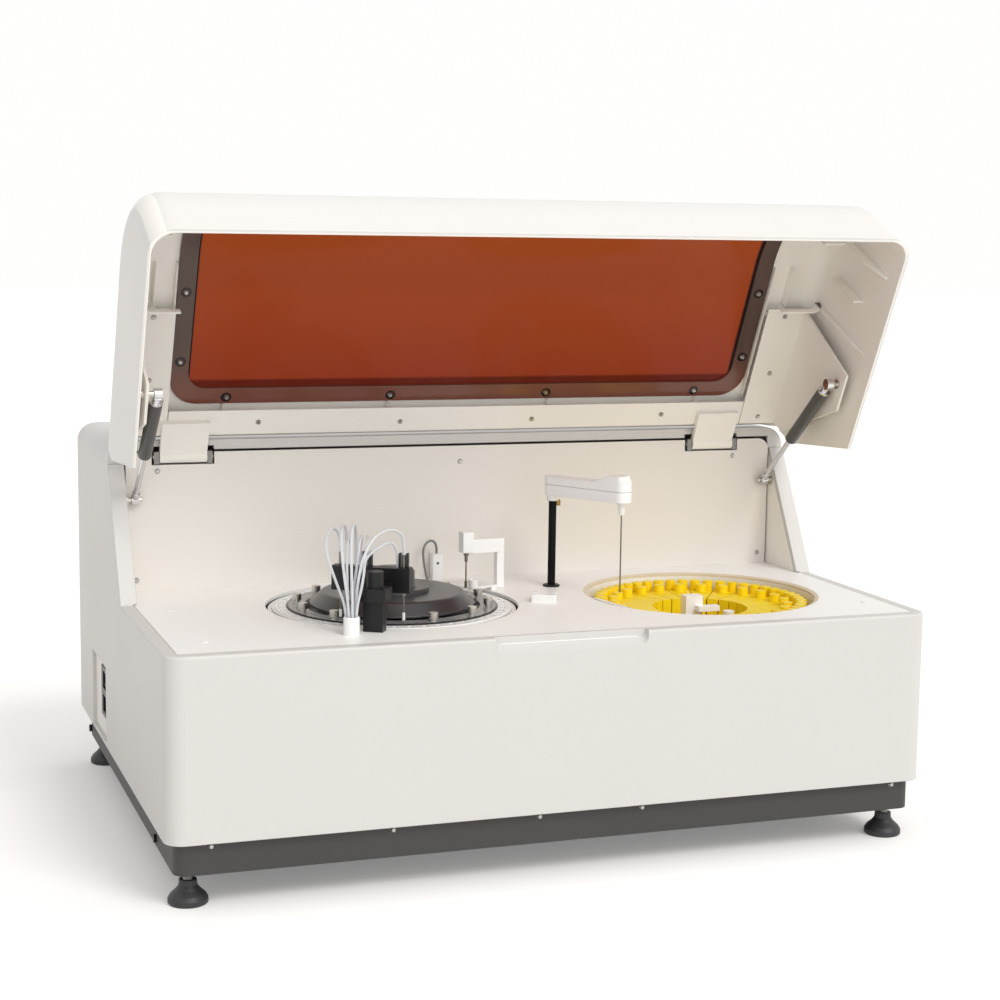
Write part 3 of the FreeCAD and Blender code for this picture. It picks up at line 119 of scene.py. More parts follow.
def soft_tube(name, points, diameter, body, stands_for):
    """A smooth round tube from the corners of its route, in mm."""
    curve = bpy.data.curves.new(name, "CURVE")
    curve.dimensions = "3D"
    spline = curve.splines.new("NURBS")
    spline.points.add(len(points) - 1)
    for place, point in zip(spline.points, points):
        place.co = (*spot(*point), 1.0)
        place.radius = diameter * MM / 2  # times the bevel depth of 1, this is the tube's radius
    spline.order_u = 3
    spline.use_endpoint_u = True
    spline.resolution_u = 8
    curve.bevel_depth = 1.0
    curve.bevel_resolution = 3
    curve.use_fill_caps = True
    tube = bpy.data.objects.new(name, curve)
    bpy.context.scene.collection.objects.link(tube)
    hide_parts(stands_for)
    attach(tube, body)
    return tube


# %% Wash tubes
RING_MIDDLE = (-134, 212)
SLEEVE_MIDDLE = (-222, 60)
SLEEVE_FLOOR = 240
SLEEVE_TOP = 284
BUNDLE_RADIUS = 4.1
BEAM_TURN = math.radians(-32.5)
BEAM_REACH = 105
BEAM_TOP = 320
NOZZLE_TOP = 334
LAST_DROP = 16


def over_beam(along):
    """The point over the wash beam's middle line, in mm, from the distance along it."""
    x = RING_MIDDLE[0] + along * math.cos(BEAM_TURN) + BEAM_REACH * math.sin(BEAM_TURN)
    behind_front = (RING_MIDDLE[1] + along * math.sin(BEAM_TURN)
                    - BEAM_REACH * math.cos(BEAM_TURN))
    return x, behind_front


def wash_route(around, corners, along, landing):
    """The corners of one tube: up out of the sleeve, over, and down onto the beam."""
    turn = math.radians(around)
    foot = (SLEEVE_MIDDLE[0] + BUNDLE_RADIUS * math.cos(turn),
            SLEEVE_MIDDLE[1] + BUNDLE_RADIUS * math.sin(turn))
    end = over_beam(along)
    return [(*foot, SLEEVE_FLOOR), (*foot, SLEEVE_TOP), *corners,
            (*end, landing + LAST_DROP), (*end, landing)]


wash_routes = [
    wash_route(180, [(-235, 74, 313), (-241, 88, 338), (-238, 106, 356), (-224, 126, 364)],
               -27, NOZZLE_TOP),
    wash_route(0, [(-214, 64, 322), (-205, 68, 346), (-193, 76, 359), (-177, 84, 365),
                   (-161, 94, 360)], 43, NOZZLE_TOP),
    wash_route(45, [(-213, 69, 316), (-203, 79, 335), (-186, 88, 346), (-168, 97, 350)],
               36, BEAM_TOP),
    wash_route(315, [(-211, 58, 312), (-204, 73, 338), (-195, 94, 358)], 3, NOZZLE_TOP),
    wash_route(225, [(-230, 64, 327), (-229, 78, 360), (-221, 98, 371), (-212, 120, 360)],
               -20, BEAM_TOP),
    wash_route(270, [(-223, 58, 327), (-219, 74, 364), (-211, 92, 372), (-202, 118, 358)],
               -10, BEAM_TOP),
    wash_route(90, [(-213, 75, 325), (-206, 88, 352), (-199, 104, 357), (-196, 118, 346)],
               -5, BEAM_TOP),
    wash_route(135, [(-223, 76, 325), (-219, 92, 349), (-212, 110, 354), (-205, 126, 344)],
               -15, BEAM_TOP),
]
WASH_TUBE = 3.0
wash_tubes = [soft_tube("wash_tube_%d" % (number + 1), route, WASH_TUBE, "wash_lifter",
                        "wash_tubes") for number, route in enumerate(wash_routes)]

# %% [markdown]
# Behind the reaction ring a small white sensor box stands on the deck. A thin grey cable
# leaves its top, bows over to the left and drops behind the black cover to the deck.

# %% Sensor cable
SENSOR_CABLE = 2.8
sensor_route = [
    (-38, 352, 291), (-38, 350, 303), (-47, 348, 309),
    (-57, 346, 301), (-56, 346, 280), (-51, 346, 260),
]
sensor_cable = soft_tube("sensor_cable_run", sensor_route, SENSOR_CABLE, "casing",
                         "sensor_cable")

# %% [markdown]
# One function adds a node, sets what is given and links what feeds it. The rest of each
# finish reads like a list: what the material is, then what the light does on it. A socket
# is called by its name, or by its number where names repeat: a Mix node's two colours are
# inputs 6 and 7, its mixed colour is output 2, and a Math node's two numbers are 0 and 1.

# %% Helper for nodes
def add_node(tree, kind, place, settings=None, values=None, links=None):
    """Adds one node with its settings, socket values and incoming links."""
    node = tree.nodes.new(kind)
    node.location = place
    for name, value in (settings or {}).items():
        setattr(node, name, value)
    for name, value in (values or {}).items():
        node.inputs[name].default_value = value
    for name, source in (links or {}).items():
        tree.links.new(source, node.inputs[name])
    return node


# %% [markdown]
# Most of the machine is moulded plastic or powder-coated steel. Up close, both are never
# quite smooth: a moulded shell has a fine spark-eroded grain, and powder coat has the
# soft ripple of orange peel. So every finish starts from the same two noises: a small
# one for the relief, and a broad one that shifts the colour and the gloss a little, as
# handling and dust do. A Bevel node softens the CAD's sharp edges, so that they catch
# a thin line of light as moulded edges do.

# %% Helper for finishes
def finish(name, base, roughness, grain=0.8, relief=0.02, shift=0.03, edge=0.0, **shader):
    """A finish from its colour, roughness, grain size and relief in mm, and colour shift."""
    material = bpy.data.materials.new(name)
    material.use_nodes = True
    tree = material.node_tree
    tree.nodes.clear()
    place = add_node(tree, "ShaderNodeTexCoord", (-1200, 0)).outputs["Object"]
    broad = add_node(tree, "ShaderNodeTexNoise", (-950, 250), values={"Scale": 9.0, "Detail": 4.0},
                     links={"Vector": place})
    darker = [channel * (1 - shift) for channel in base[:3]]
    tone = add_node(tree, "ShaderNodeMix", (-650, 350), {"data_type": "RGBA"},
                    {6: base, 7: (*darker, 1.0)}, {"Factor": broad.outputs["Fac"]})
    gloss = add_node(tree, "ShaderNodeMapRange", (-650, 80),
                     values={"To Min": roughness * 0.88, "To Max": roughness * 1.12},
                     links={"Value": broad.outputs["Fac"]})
    fine = add_node(tree, "ShaderNodeTexNoise", (-950, -250),
                    values={"Scale": 1 / (grain * MM), "Detail": 2.0}, links={"Vector": place})
    bump = add_node(tree, "ShaderNodeBump", (-400, -250),
                    values={"Strength": 0.5, "Distance": relief * MM},
                    links={"Height": fine.outputs["Fac"]})
    if edge:
        soft = add_node(tree, "ShaderNodeBevel", (-650, -450), {"samples": 4},
                        {"Radius": edge * MM})
        tree.links.new(soft.outputs["Normal"], bump.inputs["Normal"])
    surface = add_node(tree, "ShaderNodeBsdfPrincipled", (-100, 100), links={
        "Base Color": tone.outputs[2], "Roughness": gloss.outputs["Result"],
        "Normal": bump.outputs["Normal"]})
    for socket, value in shader.items():
        surface.inputs[socket.replace("_", " ")].default_value = value
    add_node(tree, "ShaderNodeOutputMaterial", (250, 100),
             links={"Surface": surface.outputs["BSDF"]})
    return material


# %% [markdown]
# Many CAD pieces are made of more than one stuff, and one object has one finish. So a finish
# is built further where that is needed. A mask is 1 on the part that differs, picked by
# height, by distance or by side. It then lays another colour over the first one, or lets
# another shader take over. Last, a finish is given to its pieces by their names.

# %% Helpers for masks
def named(tree, kind):
    """The first node of a kind in a tree, to build a finish further."""
    return next(node for node in tree.nodes if node.bl_idname == kind)


def where(tree, *tests):
    """A mask that is 1 where all tests hold: each is a socket, "<" or ">", and a limit."""
    mask = None
    for step, (measure, sign, limit) in enumerate(tests):
        test = add_node(tree, "ShaderNodeMath", (-600, 950 - 150 * step),
                        {"operation": {"<": "LESS_THAN", ">": "GREATER_THAN"}[sign]},
                        {1: limit}, {0: measure})
        if mask is not None:
            test = add_node(tree, "ShaderNodeMath", (-450, 950 - 150 * step),
                            {"operation": "MULTIPLY"}, links={0: mask, 1: test.outputs["Value"]})
        mask = test.outputs["Value"]
    return mask


def recolour(tree, mask, hex_value):
    """Lays one more colour over a finish where a mask is 1."""
    base = named(tree, "ShaderNodeBsdfPrincipled").inputs["Base Color"]
    layer = add_node(tree, "ShaderNodeMix", (-300, 600), {"data_type": "RGBA"},
                     {7: colour(hex_value)}, {"Factor": mask, 6: base.links[0].from_socket})
    tree.links.new(layer.outputs[2], base)


def take_over(tree, mask, shader):
    """Lets another shader show where a mask is 1."""
    surface = named(tree, "ShaderNodeOutputMaterial").inputs["Surface"]
    both = add_node(tree, "ShaderNodeMixShader", (150, 300), links={
        "Fac": mask, 1: surface.links[0].from_socket, 2: shader.outputs["BSDF"]})
    tree.links.new(both.outputs["Shader"], surface)


# %% Helper for dressing
def dress(material, *names):
    """Gives a finish to CAD nodes, or to new pieces, by name."""
    for name in names:
        piece = nodes.get(name) or bpy.data.objects[name]
        piece.data.materials.clear()
        piece.data.materials.append(material)
        if piece.type == "MESH":
            for face in piece.data.polygons:
                face.material_index = 0
    print(material.name, "on", len(names), "pieces")


# %% [markdown]
# The housing, the lid and the rear cover are moulded ABS in a warm white. Spark-eroded
# moulds leave a fine matt grain of about half a millimetre. It is drawn a little coarser
# here, so that it still shows from a step away. Moulded this way, ABS has a soft, wide
# highlight, because its IOR is near 1.53 and its roughness about 0.4. The finger recess in
# the front edge is painted a little lighter, as painted light on its sloping floor, which
# is lit from above.

# %% Moulded shells
RECESS_FLOOR = 252
RECESS_DEPTH = 9
RECESS_HALF_WIDTH = 76
FRONT_SKIN = 0.6
shell_plastic = finish("moulded_abs_warm_white", colour("#D3D1CE"), 0.42, grain=0.9, relief=0.03,
                       shift=0.025, edge=1.2, IOR=1.53)
tree = shell_plastic.node_tree
parts = add_node(tree, "ShaderNodeSeparateXYZ", (-800, 950), links={
    "Vector": named(tree, "ShaderNodeTexCoord").outputs["Object"]})
off_middle = add_node(tree, "ShaderNodeMath", (-700, 1100), {"operation": "ABSOLUTE"},
                      links={0: parts.outputs["X"]})
recess_painted_light = where(tree, (parts.outputs["Z"], ">", RECESS_FLOOR * MM),
                  (parts.outputs["Y"], "<", spot(0, RECESS_DEPTH, 0).y),
                  (off_middle.outputs["Value"], "<", RECESS_HALF_WIDTH * MM),
                  (parts.outputs["Y"], ">", spot(0, FRONT_SKIN, 0).y))
# painted light: the recess is drawn lighter than the rest of the shell
recolour(tree, recess_painted_light, "#FBFAF8")
dress(shell_plastic, "outer_housing", "rear_top_cover")

# %% [markdown]
# The lid is drawn in a lighter copy of the housing's white, and its inside is lighter and a
# touch creamier still: both are painted light. The lid stands open at an angle, so a node
# first turns each point back to the closed lid, where the walls are level. Its sign is
# dropped there, so left and right are one. The inside is then easy to pick: it is all that
# lies near enough to the line round which the front is rounded, between the sides.

# %% Helper for places on the lid
LID_ANGLE = math.radians(-63.4)
HINGE = spot(0, 364, 414)
LID_OPEN = (Matrix.Translation(HINGE) @ Matrix.Rotation(LID_ANGLE, 4, "X")
            @ Matrix.Translation(-HINGE))


def lid_place(tree):
    """A point's place on the closed lid, in mm: from the middle, the front and the floor."""
    closing = LID_OPEN.inverted()
    front = Vector((0, -CASING_DEPTH / 2 * MM, 0))
    shut = add_node(tree, "ShaderNodeMapping", (-1000, 950), {"vector_type": "POINT"},
                    {"Location": (closing.translation - front) / MM, "Scale": (1 / MM,) * 3,
                     "Rotation": closing.to_euler()},
                    {"Vector": named(tree, "ShaderNodeTexCoord").outputs["Object"]})
    folded = add_node(tree, "ShaderNodeVectorMath", (-900, 950), {"operation": "ABSOLUTE"},
                      links={0: shut.outputs["Vector"]})
    return folded.outputs["Vector"]


# %% Lid
ROUNDING_FROM_FRONT = 122
ROUNDING_HEIGHT = 316
INSIDE_RADIUS = 120
INSIDE_HALF_WIDTH = 422.5
# painted light: the lid's white is a lighter copy of the housing's white
lid_abs_painted_lighter = finish("moulded_abs_white_painted_lighter", colour("#E7E5E2"), 0.4, grain=0.9, relief=0.03,
                     shift=0.02, edge=1.2, IOR=1.53)
tree = lid_abs_painted_lighter.node_tree
on_lid = lid_place(tree)
parts = add_node(tree, "ShaderNodeSeparateXYZ", (-800, 950), links={"Vector": on_lid})
past_centre = add_node(tree, "ShaderNodeVectorMath", (-800, 1150), {"operation": "MULTIPLY_ADD"},
                       {1: (0, -1, 1), 2: (0, ROUNDING_FROM_FRONT, -ROUNDING_HEIGHT)},
                       {0: on_lid})
only_outwards = add_node(tree, "ShaderNodeVectorMath", (-650, 1150), {"operation": "MAXIMUM"},
                         {1: (0, 0, 0)}, {0: past_centre.outputs["Vector"]})
depth = add_node(tree, "ShaderNodeVectorMath", (-500, 1150), {"operation": "LENGTH"},
                 links={0: only_outwards.outputs["Vector"]})
inside = where(tree, (depth.outputs["Value"], "<", INSIDE_RADIUS),
               (parts.outputs["X"], "<", INSIDE_HALF_WIDTH))
# painted light: the lid's inside is drawn lighter and creamier than its outside
recolour(tree, inside, "#F9F6F0")
dress(lid_abs_painted_lighter, "lid_shell")

# %% [markdown]
# The deck is powder-coated steel sheet. The real sheet has one detail that the eye goes to:
# the round opening of the reagent well is bevelled, and its slope is a bare beige filler.
# A distance from the well's centre and a height pick that slope out of the deck.

# %% Deck
WELL_MIDDLE = (232, 186, 0)
SLOPE_RADIUS = 137.1
UNDER_DECK_TOP = 259.9
deck_coat = finish("powder_coat_deck_white", colour("#F8F7F5"), 0.38, grain=1.4, relief=0.04,
                   shift=0.02, edge=0.6, IOR=1.5)
tree = deck_coat.node_tree
place = named(tree, "ShaderNodeTexCoord").outputs["Object"]
flat_place = add_node(tree, "ShaderNodeVectorMath", (-950, 650), {"operation": "MULTIPLY"},
                      {1: (1, 1, 0)}, {0: place})
reach = add_node(tree, "ShaderNodeVectorMath", (-750, 650), {"operation": "DISTANCE"},
                 {1: spot(*WELL_MIDDLE)}, {0: flat_place.outputs["Vector"]})
height = add_node(tree, "ShaderNodeSeparateXYZ", (-750, 850), links={"Vector": place})
slope = where(tree, (reach.outputs["Value"], "<", SLOPE_RADIUS * MM),
              (height.outputs["Z"], "<", UNDER_DECK_TOP * MM))
recolour(tree, slope, "#DCCDB4")
dress(deck_coat, "deck_panel")

# %% [markdown]
# The back wall, the inner skins of the wings and the lid's liner and brackets are folded
# sheet in a slightly creamier coat, which reads warmer than the shell beside it. The coat
# is given as two copies, as painted light and shade: a darker one on the back wall and the
# inlet plate, and a lighter one on the skins, the liner, the brackets and the hinge leaves.

# %% Folded sheet metal
# painted shade: a darker copy of the cream coat
cream_coat_painted_darker = finish("cream_powder_coat_painted_darker", colour("#EBE7E1"), 0.45, grain=1.4, relief=0.035,
                   shift=0.02, edge=0.4, IOR=1.5)
dress(cream_coat_painted_darker, "back_wall_panel", "inlet_plate")
# painted light: a lighter copy of the same cream coat
cream_coat_painted_lighter = finish("cream_powder_coat_painted_lighter", colour("#F7F4EE"), 0.45, grain=1.4, relief=0.035,
                  shift=0.02, edge=0.4, IOR=1.5)
dress(cream_coat_painted_lighter, "wing_liners", "lid_rear_liner", "lid_brackets", "hinge_leaves")
rear_coat = finish("powder_coat_light_grey", colour("#D2D0CC"), 0.48, grain=1.4, relief=0.035,
                   shift=0.03, edge=0.4, IOR=1.5)
dress(rear_coat, "rear_panel")
bracket_coat = finish("satin_grey_steel", colour("#8C8B88"), 0.4, grain=0.7, relief=0.015,
                      shift=0.06, edge=0.3, Metallic=0.6)
dress(bracket_coat, "hinge_brackets")

# %% [markdown]
# The plinth is a steel tray in a dark textured powder coat. Its grain is coarser than on
# the deck, so the low light along the floor breaks up on it.

# %% Plinth
plinth_coat = finish("textured_coat_charcoal", colour("#3D3C3A"), 0.55, grain=1.1, relief=0.09,
                     shift=0.08, edge=1.0, IOR=1.5)
dress(plinth_coat, "base_plinth")
bolt_black = finish("blackened_steel", colour("#1C1C1E"), 0.35, grain=0.6, relief=0.01, shift=0.1,
                    edge=0.3, Metallic=0.5)
dress(bolt_black, "plinth_bolts")

# %% [markdown]
# A levelling foot is a ribbed plastic bell pressed onto a threaded steel stud. Both are one
# CAD node, so the height chooses between two looks: hard dark plastic below, and zinc-plated
# steel above, where a wave along Z stands for the metric thread of 1.5 mm pitch.

# %% Levelling feet
BELL_TOP = 25.2
THREAD_PITCH = 1.5
WAVE_REPEAT = 0.314  # a Wave node at scale 1 has one band in this length
foot_plastic = finish("glass_filled_nylon", colour("#2E2E31"), 0.5, grain=0.7, relief=0.03,
                      shift=0.1, edge=0.5, IOR=1.53)
tree = foot_plastic.node_tree
place = named(tree, "ShaderNodeTexCoord").outputs["Object"]
height = add_node(tree, "ShaderNodeSeparateXYZ", (-950, 650), links={"Vector": place})
thread = add_node(tree, "ShaderNodeTexWave", (-950, -600), {"bands_direction": "Z"},
                  {"Scale": WAVE_REPEAT / (THREAD_PITCH * MM)}, {"Vector": place})
thread_bump = add_node(tree, "ShaderNodeBump", (-400, -600), values={"Distance": 0.4 * MM},
                       links={"Height": thread.outputs["Fac"]})
steel = add_node(tree, "ShaderNodeBsdfPrincipled", (-100, -500), values={
    "Base Color": colour("#B9B8B5"), "Metallic": 1.0, "Roughness": 0.32},
    links={"Normal": thread_bump.outputs["Normal"]})
take_over(tree, where(tree, (height.outputs["Z"], ">", BELL_TOP * MM)), steel)
dress(foot_plastic, "foot_front_left", "foot_front_right", "foot_rear_left", "foot_rear_right")

# %% [markdown]
# Screws, ball studs, pins and needles are plain steel, zinc plated or stainless. Plated
# steel is not a mirror: a roughness near 0.3 spreads each highlight over the small heads.

# %% Bare metals
zinc_steel = finish("zinc_plated_steel", colour("#BDBCB9"), 0.3, grain=0.5, relief=0.006,
                    shift=0.1, Metallic=1.0)
dress(zinc_steel, "foot_lock_nuts", "panel_screws", "lid_screws", "hinge_pins")
stainless = finish("turned_stainless", colour("#D8D4CE"), 0.24, grain=0.5, relief=0.005, shift=0.1,
                   Metallic=1.0)
dress(stainless, "lid_ball_studs", "spring_lower_studs", "thumb_nuts")
chrome_rod = finish("hard_chrome_rod", colour("#D6D6D8"), 0.1, grain=0.4, relief=0.002, shift=0.04,
                    Metallic=1.0)
dress(chrome_rod, "spring_rod_left", "spring_rod_right")

# %% [markdown]
# The gas spring's barrel is a drawn steel tube in smooth satin enamel. Its upper socket and
# neck are chromed. How far a point lies along the spring's axis tells the two apart.

# %% Spring barrels
NECK_LENGTH = 14
barrel_enamel = finish("satin_enamel_graphite", colour("#4A4948"), 0.34, grain=0.9, relief=0.01,
                       shift=0.06, edge=0.6, IOR=1.5)
tree = barrel_enamel.node_tree
place = named(tree, "ShaderNodeTexCoord").outputs["Object"]
upper_ball = spot(396, 195, 500)
spring_axis = Vector((0, -0.769, 0.639))
along = add_node(tree, "ShaderNodeVectorMath", (-900, 700), {"operation": "DOT_PRODUCT"},
                 {1: spring_axis}, {0: place})
neck = upper_ball.dot(spring_axis) - NECK_LENGTH * MM
chrome = add_node(tree, "ShaderNodeBsdfPrincipled", (-100, -500), values={
    "Base Color": colour("#DCDCDD"), "Metallic": 1.0, "Roughness": 0.12})
take_over(tree, where(tree, (along.outputs["Value"], ">", neck)), chrome)
dress(barrel_enamel, "spring_barrel_left", "spring_barrel_right")

# %% [markdown]
# The window is a bent sheet of amber acrylic. Light crosses it, so it glows against the
# white room, and it deepens towards the hinge, where less light comes through. Acrylic
# has a polished face and an IOR of 1.49. It is set lower here, because at 1.49 the pane
# mirrors the white room so much that it pales. Two colours are laid along the pane.
# Its edge is bonded into the frame: a black line at the sides, and a broad bevel at the
# rear that looks dark red, because there the light has the longest way through the sheet.

# %% Amber window
PANE_FOOT = 490
PANE_TOP = 700
REAR_BEVEL = 275.5
SIDE_BOND = 335.6
amber = finish("tinted_acrylic_amber", colour("#B0552B"), 0.12, grain=40.0, relief=0.001,
               shift=0.0, IOR=1.2, Transmission_Weight=0.85)
tree = amber.node_tree
place = named(tree, "ShaderNodeTexCoord").outputs["Object"]
height = add_node(tree, "ShaderNodeSeparateXYZ", (-950, 650), links={"Vector": place})
up_pane = add_node(tree, "ShaderNodeMapRange", (-650, 650),
                   values={"From Min": PANE_FOOT * MM, "From Max": PANE_TOP * MM},
                   links={"Value": height.outputs["Z"]})
tint = add_node(tree, "ShaderNodeMix", (-350, 550), {"data_type": "RGBA"},
                {6: colour("#8A3620"), 7: colour("#A64C22")},
                {"Factor": up_pane.outputs["Result"]})
tree.links.new(tint.outputs[2], named(tree, "ShaderNodeBsdfPrincipled").inputs["Base Color"])
parts = add_node(tree, "ShaderNodeSeparateXYZ", (-800, 950), links={"Vector": lid_place(tree)})
recolour(tree, where(tree, (parts.outputs["Y"], ">", REAR_BEVEL)), "#5E1F14")
recolour(tree, where(tree, (parts.outputs["X"], ">", SIDE_BOND)), "#1D1416")
dress(amber, "lid_window")

# %% [markdown]
# The window sits in a frame of smoked acrylic, darker and browner than the pane, with
# polished edges that pick up the white of the shell. It is grey-brown high up and turns
# redder towards the hinge, and each screw sits in a counterbore, whose shade is painted
# as a dark ring round the screw.
# The frame is the same on both sides, so four places are enough for the screws.

# %% Window frame
FRAME_SCREWS = ((348, 161), (348, 249), (292.5, 296), (97.5, 296))
COUNTERBORE_SHADE_RADIUS = 6.2
smoked = finish("smoked_acrylic_frame", colour("#5F4C45"), 0.14, grain=25.0, relief=0.004,
                shift=0.2, edge=0.8, IOR=1.49)
tree = smoked.node_tree
parts = add_node(tree, "ShaderNodeSeparateXYZ", (-800, 950), links={"Vector": lid_place(tree)})
to_rear = add_node(tree, "ShaderNodeMapRange", (-600, 950), {"interpolation_type": "SMOOTHSTEP"},
                   {"From Min": 225.0, "From Max": 300.0}, {"Value": parts.outputs["Y"]})
recolour(tree, to_rear.outputs["Result"], "#7A4A3D")
flat_place = add_node(tree, "ShaderNodeCombineXYZ", (-600, 750), links={
    "X": parts.outputs["X"], "Y": parts.outputs["Y"]})
for screw in FRAME_SCREWS:
    reach = add_node(tree, "ShaderNodeVectorMath", (-450, 750), {"operation": "DISTANCE"},
                     {1: (*screw, 0)}, {0: flat_place.outputs["Vector"]})
    # painted shade: a dark ring stands for the shade in each counterbore
    recolour(tree, where(tree, (reach.outputs["Value"], "<", COUNTERBORE_SHADE_RADIUS)), "#241514")
dress(smoked, "window_frame")

# %% [markdown]
# The reaction station is a black anodised rotor and cover under a clear ring. The black
# parts are satin, so the white wall behind lies on the cone as a broad grey sheen. A high
# IOR of 1.9 stands for the hard, bright oxide. The wash station's blocks are plain black
# acetal, which mirrors much less, and the thin posts least of all: their round sides would
# otherwise turn grey in this white room.

# %% Black reaction parts
black_satin = finish("satin_black_anodised", colour("#2A2B2F"), 0.3, grain=0.7, relief=0.008,
                     shift=0.12, edge=0.6, IOR=1.9)
dress(black_satin, "reaction_rotor", "reaction_cover", "cover_drum")
acetal = finish("black_acetal", colour("#141417"), 0.36, grain=0.7, relief=0.01, shift=0.15,
                edge=0.5, IOR=1.4)
dress(acetal, "wash_column", "wash_head", "post_collar")
post_black = finish("anodised_post_black", colour("#121316"), 0.3, grain=0.5, relief=0.008,
                    shift=0.08, edge=0.3, IOR=1.2)
dress(post_black, "sample_post", "mixer_shaft")

# %% [markdown]
# The cuvette ring is injection-moulded acrylic. Its outer zone is milky and turned into
# fine steps, which show as thin grey circles at uneven distances. A narrow black band
# follows, and inside it the acrylic is clear over the black rotor. The distance from the
# station's axis chooses between the three.

# %% Cuvette ring
BAND_RADIUS = 115.4
MILKY_RADIUS = 118.2
clear_acrylic = finish("clear_acrylic_ring", colour("#F1F3F3"), 0.08, grain=3.0, relief=0.01,
                       shift=0.02, IOR=1.49, Transmission_Weight=0.75)
tree = clear_acrylic.node_tree
place = named(tree, "ShaderNodeTexCoord").outputs["Object"]
flat_place = add_node(tree, "ShaderNodeVectorMath", (-1000, 700), {"operation": "MULTIPLY"},
                      {1: (1 / MM, 1 / MM, 0)}, {0: place})
radius = add_node(tree, "ShaderNodeVectorMath", (-850, 700), {"operation": "DISTANCE"},
                  {1: spot(*RING_MIDDLE, 0) / MM}, {0: flat_place.outputs["Vector"]})
circles = add_node(tree, "ShaderNodeTexNoise", (-700, 700), {"noise_dimensions": "1D"},
                   {"Scale": 0.9, "Detail": 3.0}, {"W": radius.outputs["Value"]})
lines = add_node(tree, "ShaderNodeMapRange", (-550, 700), values={
    "From Min": 0.52, "From Max": 0.66}, links={"Value": circles.outputs["Fac"]})
milky = add_node(tree, "ShaderNodeMix", (-350, 800), {"data_type": "RGBA"},
                 {6: colour("#FFFFFF"), 7: colour("#C2BFBC")},
                 {"Factor": lines.outputs["Result"]})
step_bump = add_node(tree, "ShaderNodeBump", (-400, -600), values={"Distance": 0.25 * MM},
                     links={"Height": circles.outputs["Fac"]})
milky_shader = add_node(tree, "ShaderNodeBsdfPrincipled", (-100, -500), values={
    "Roughness": 0.22, "IOR": 1.49, "Transmission Weight": 0.08}, links={
    "Base Color": milky.outputs[2], "Normal": step_bump.outputs["Normal"]})
black_shader = add_node(tree, "ShaderNodeBsdfPrincipled", (-100, -900), values={
    "Base Color": colour("#1A1B1D"), "Roughness": 0.25, "IOR": 1.5})
clear_shader = named(tree, "ShaderNodeBsdfPrincipled")
tree.links.new(step_bump.outputs["Normal"], clear_shader.inputs["Normal"])
take_over(tree, where(tree, (radius.outputs["Value"], ">", BAND_RADIUS)), black_shader)
take_over(tree, where(tree, (radius.outputs["Value"], ">", MILKY_RADIUS)), milky_shader)
dress(clear_acrylic, "cuvette_ring")

# %% [markdown]
# The tub under the ring, the reagent well, the sleeve and the small white fittings are
# smooth moulded plastic, glossier than the shell because their moulds are polished. The
# tub is painted near black above its rim height, as painted shade in the gap round the ring.

# %% White fittings
GAP_SHADE_FROM = 244
white_gloss = finish("polished_white_abs", colour("#F7F6F5"), 0.28, grain=1.0, relief=0.01,
                     shift=0.02, edge=0.6, IOR=1.53)
dress(white_gloss, "reagent_well", "tube_sleeve", "tray_handle", "wash_pots", "sensor_box",
      "mixer_arm")
tub_grey = finish("moulded_pale_grey", colour("#CFCDCA"), 0.45, grain=1.0, relief=0.02, shift=0.04,
                  IOR=1.53)
tree = tub_grey.node_tree
height = add_node(tree, "ShaderNodeSeparateXYZ", (-950, 650), links={
    "Vector": named(tree, "ShaderNodeTexCoord").outputs["Object"]})
# painted shade: the tub is drawn near black above this height, for the gap round the ring
recolour(tree, where(tree, (height.outputs["Z"], ">", GAP_SHADE_FROM * MM)), "#1B1B1D")
dress(tub_grey, "reaction_tub")

# %% [markdown]
# The sample arm is closed by two half shells. Their joint runs round it at mid height as
# a hairline gap, so the same white gets a thin dark line at that height.

# %% Sample arm
JOINT_HEIGHT = 381.5
JOINT_GAP = 0.7
arm_white = finish("two_part_white_abs", colour("#F8F7F6"), 0.3, grain=1.0, relief=0.01,
                   shift=0.02, edge=1.5, IOR=1.53)
tree = arm_white.node_tree
place = named(tree, "ShaderNodeTexCoord").outputs["Object"]
height = add_node(tree, "ShaderNodeSeparateXYZ", (-950, 650), links={"Vector": place})
joint = where(tree, (height.outputs["Z"], ">", (JOINT_HEIGHT - JOINT_GAP / 2) * MM),
              (height.outputs["Z"], "<", (JOINT_HEIGHT + JOINT_GAP / 2) * MM))
recolour(tree, joint, "#A9A8A8")
dress(arm_white, "sample_arm")

# %% [markdown]
# The reagent bottles are moulded polypropylene in a strong yellow. Polypropylene is a
# little waxy: some light enters and comes out nearby, which keeps its shadows warm.

# %% Yellow bottles
bottle_yellow = finish("moulded_yellow_polypropylene", colour("#FFE010"), 0.4, grain=1.2,
                       relief=0.015, shift=0.06, edge=0.8, IOR=1.49, Subsurface_Weight=0.1,
                       Subsurface_Scale=0.003)
dress(bottle_yellow, "reagent_bottles", "bottle_caps", "reagent_tray")

# %% [markdown]
# A probe is a drawn steel needle in a white holder, and a wash nozzle is a steel tube with
# a white tip. Each is one CAD node, so height picks the white part out of the steel.

# %% Needles and their holders
def steel_and_white(name, white_from, white_to):
    """Drawn steel that turns to white plastic between two heights in mm."""
    metal = finish(name, colour("#85807B"), 0.26, grain=0.4, relief=0.004, shift=0.1, Metallic=1.0)
    tree = metal.node_tree
    place = named(tree, "ShaderNodeTexCoord").outputs["Object"]
    height = add_node(tree, "ShaderNodeSeparateXYZ", (-950, 650), links={"Vector": place})
    white = add_node(tree, "ShaderNodeBsdfPrincipled", (-100, 600), values={
        "Base Color": colour("#F0EFED"), "Roughness": 0.3, "IOR": 1.53})
    take_over(tree, where(tree, (height.outputs["Z"], ">", white_from * MM),
                          (height.outputs["Z"], "<", white_to * MM)), white)
    return metal


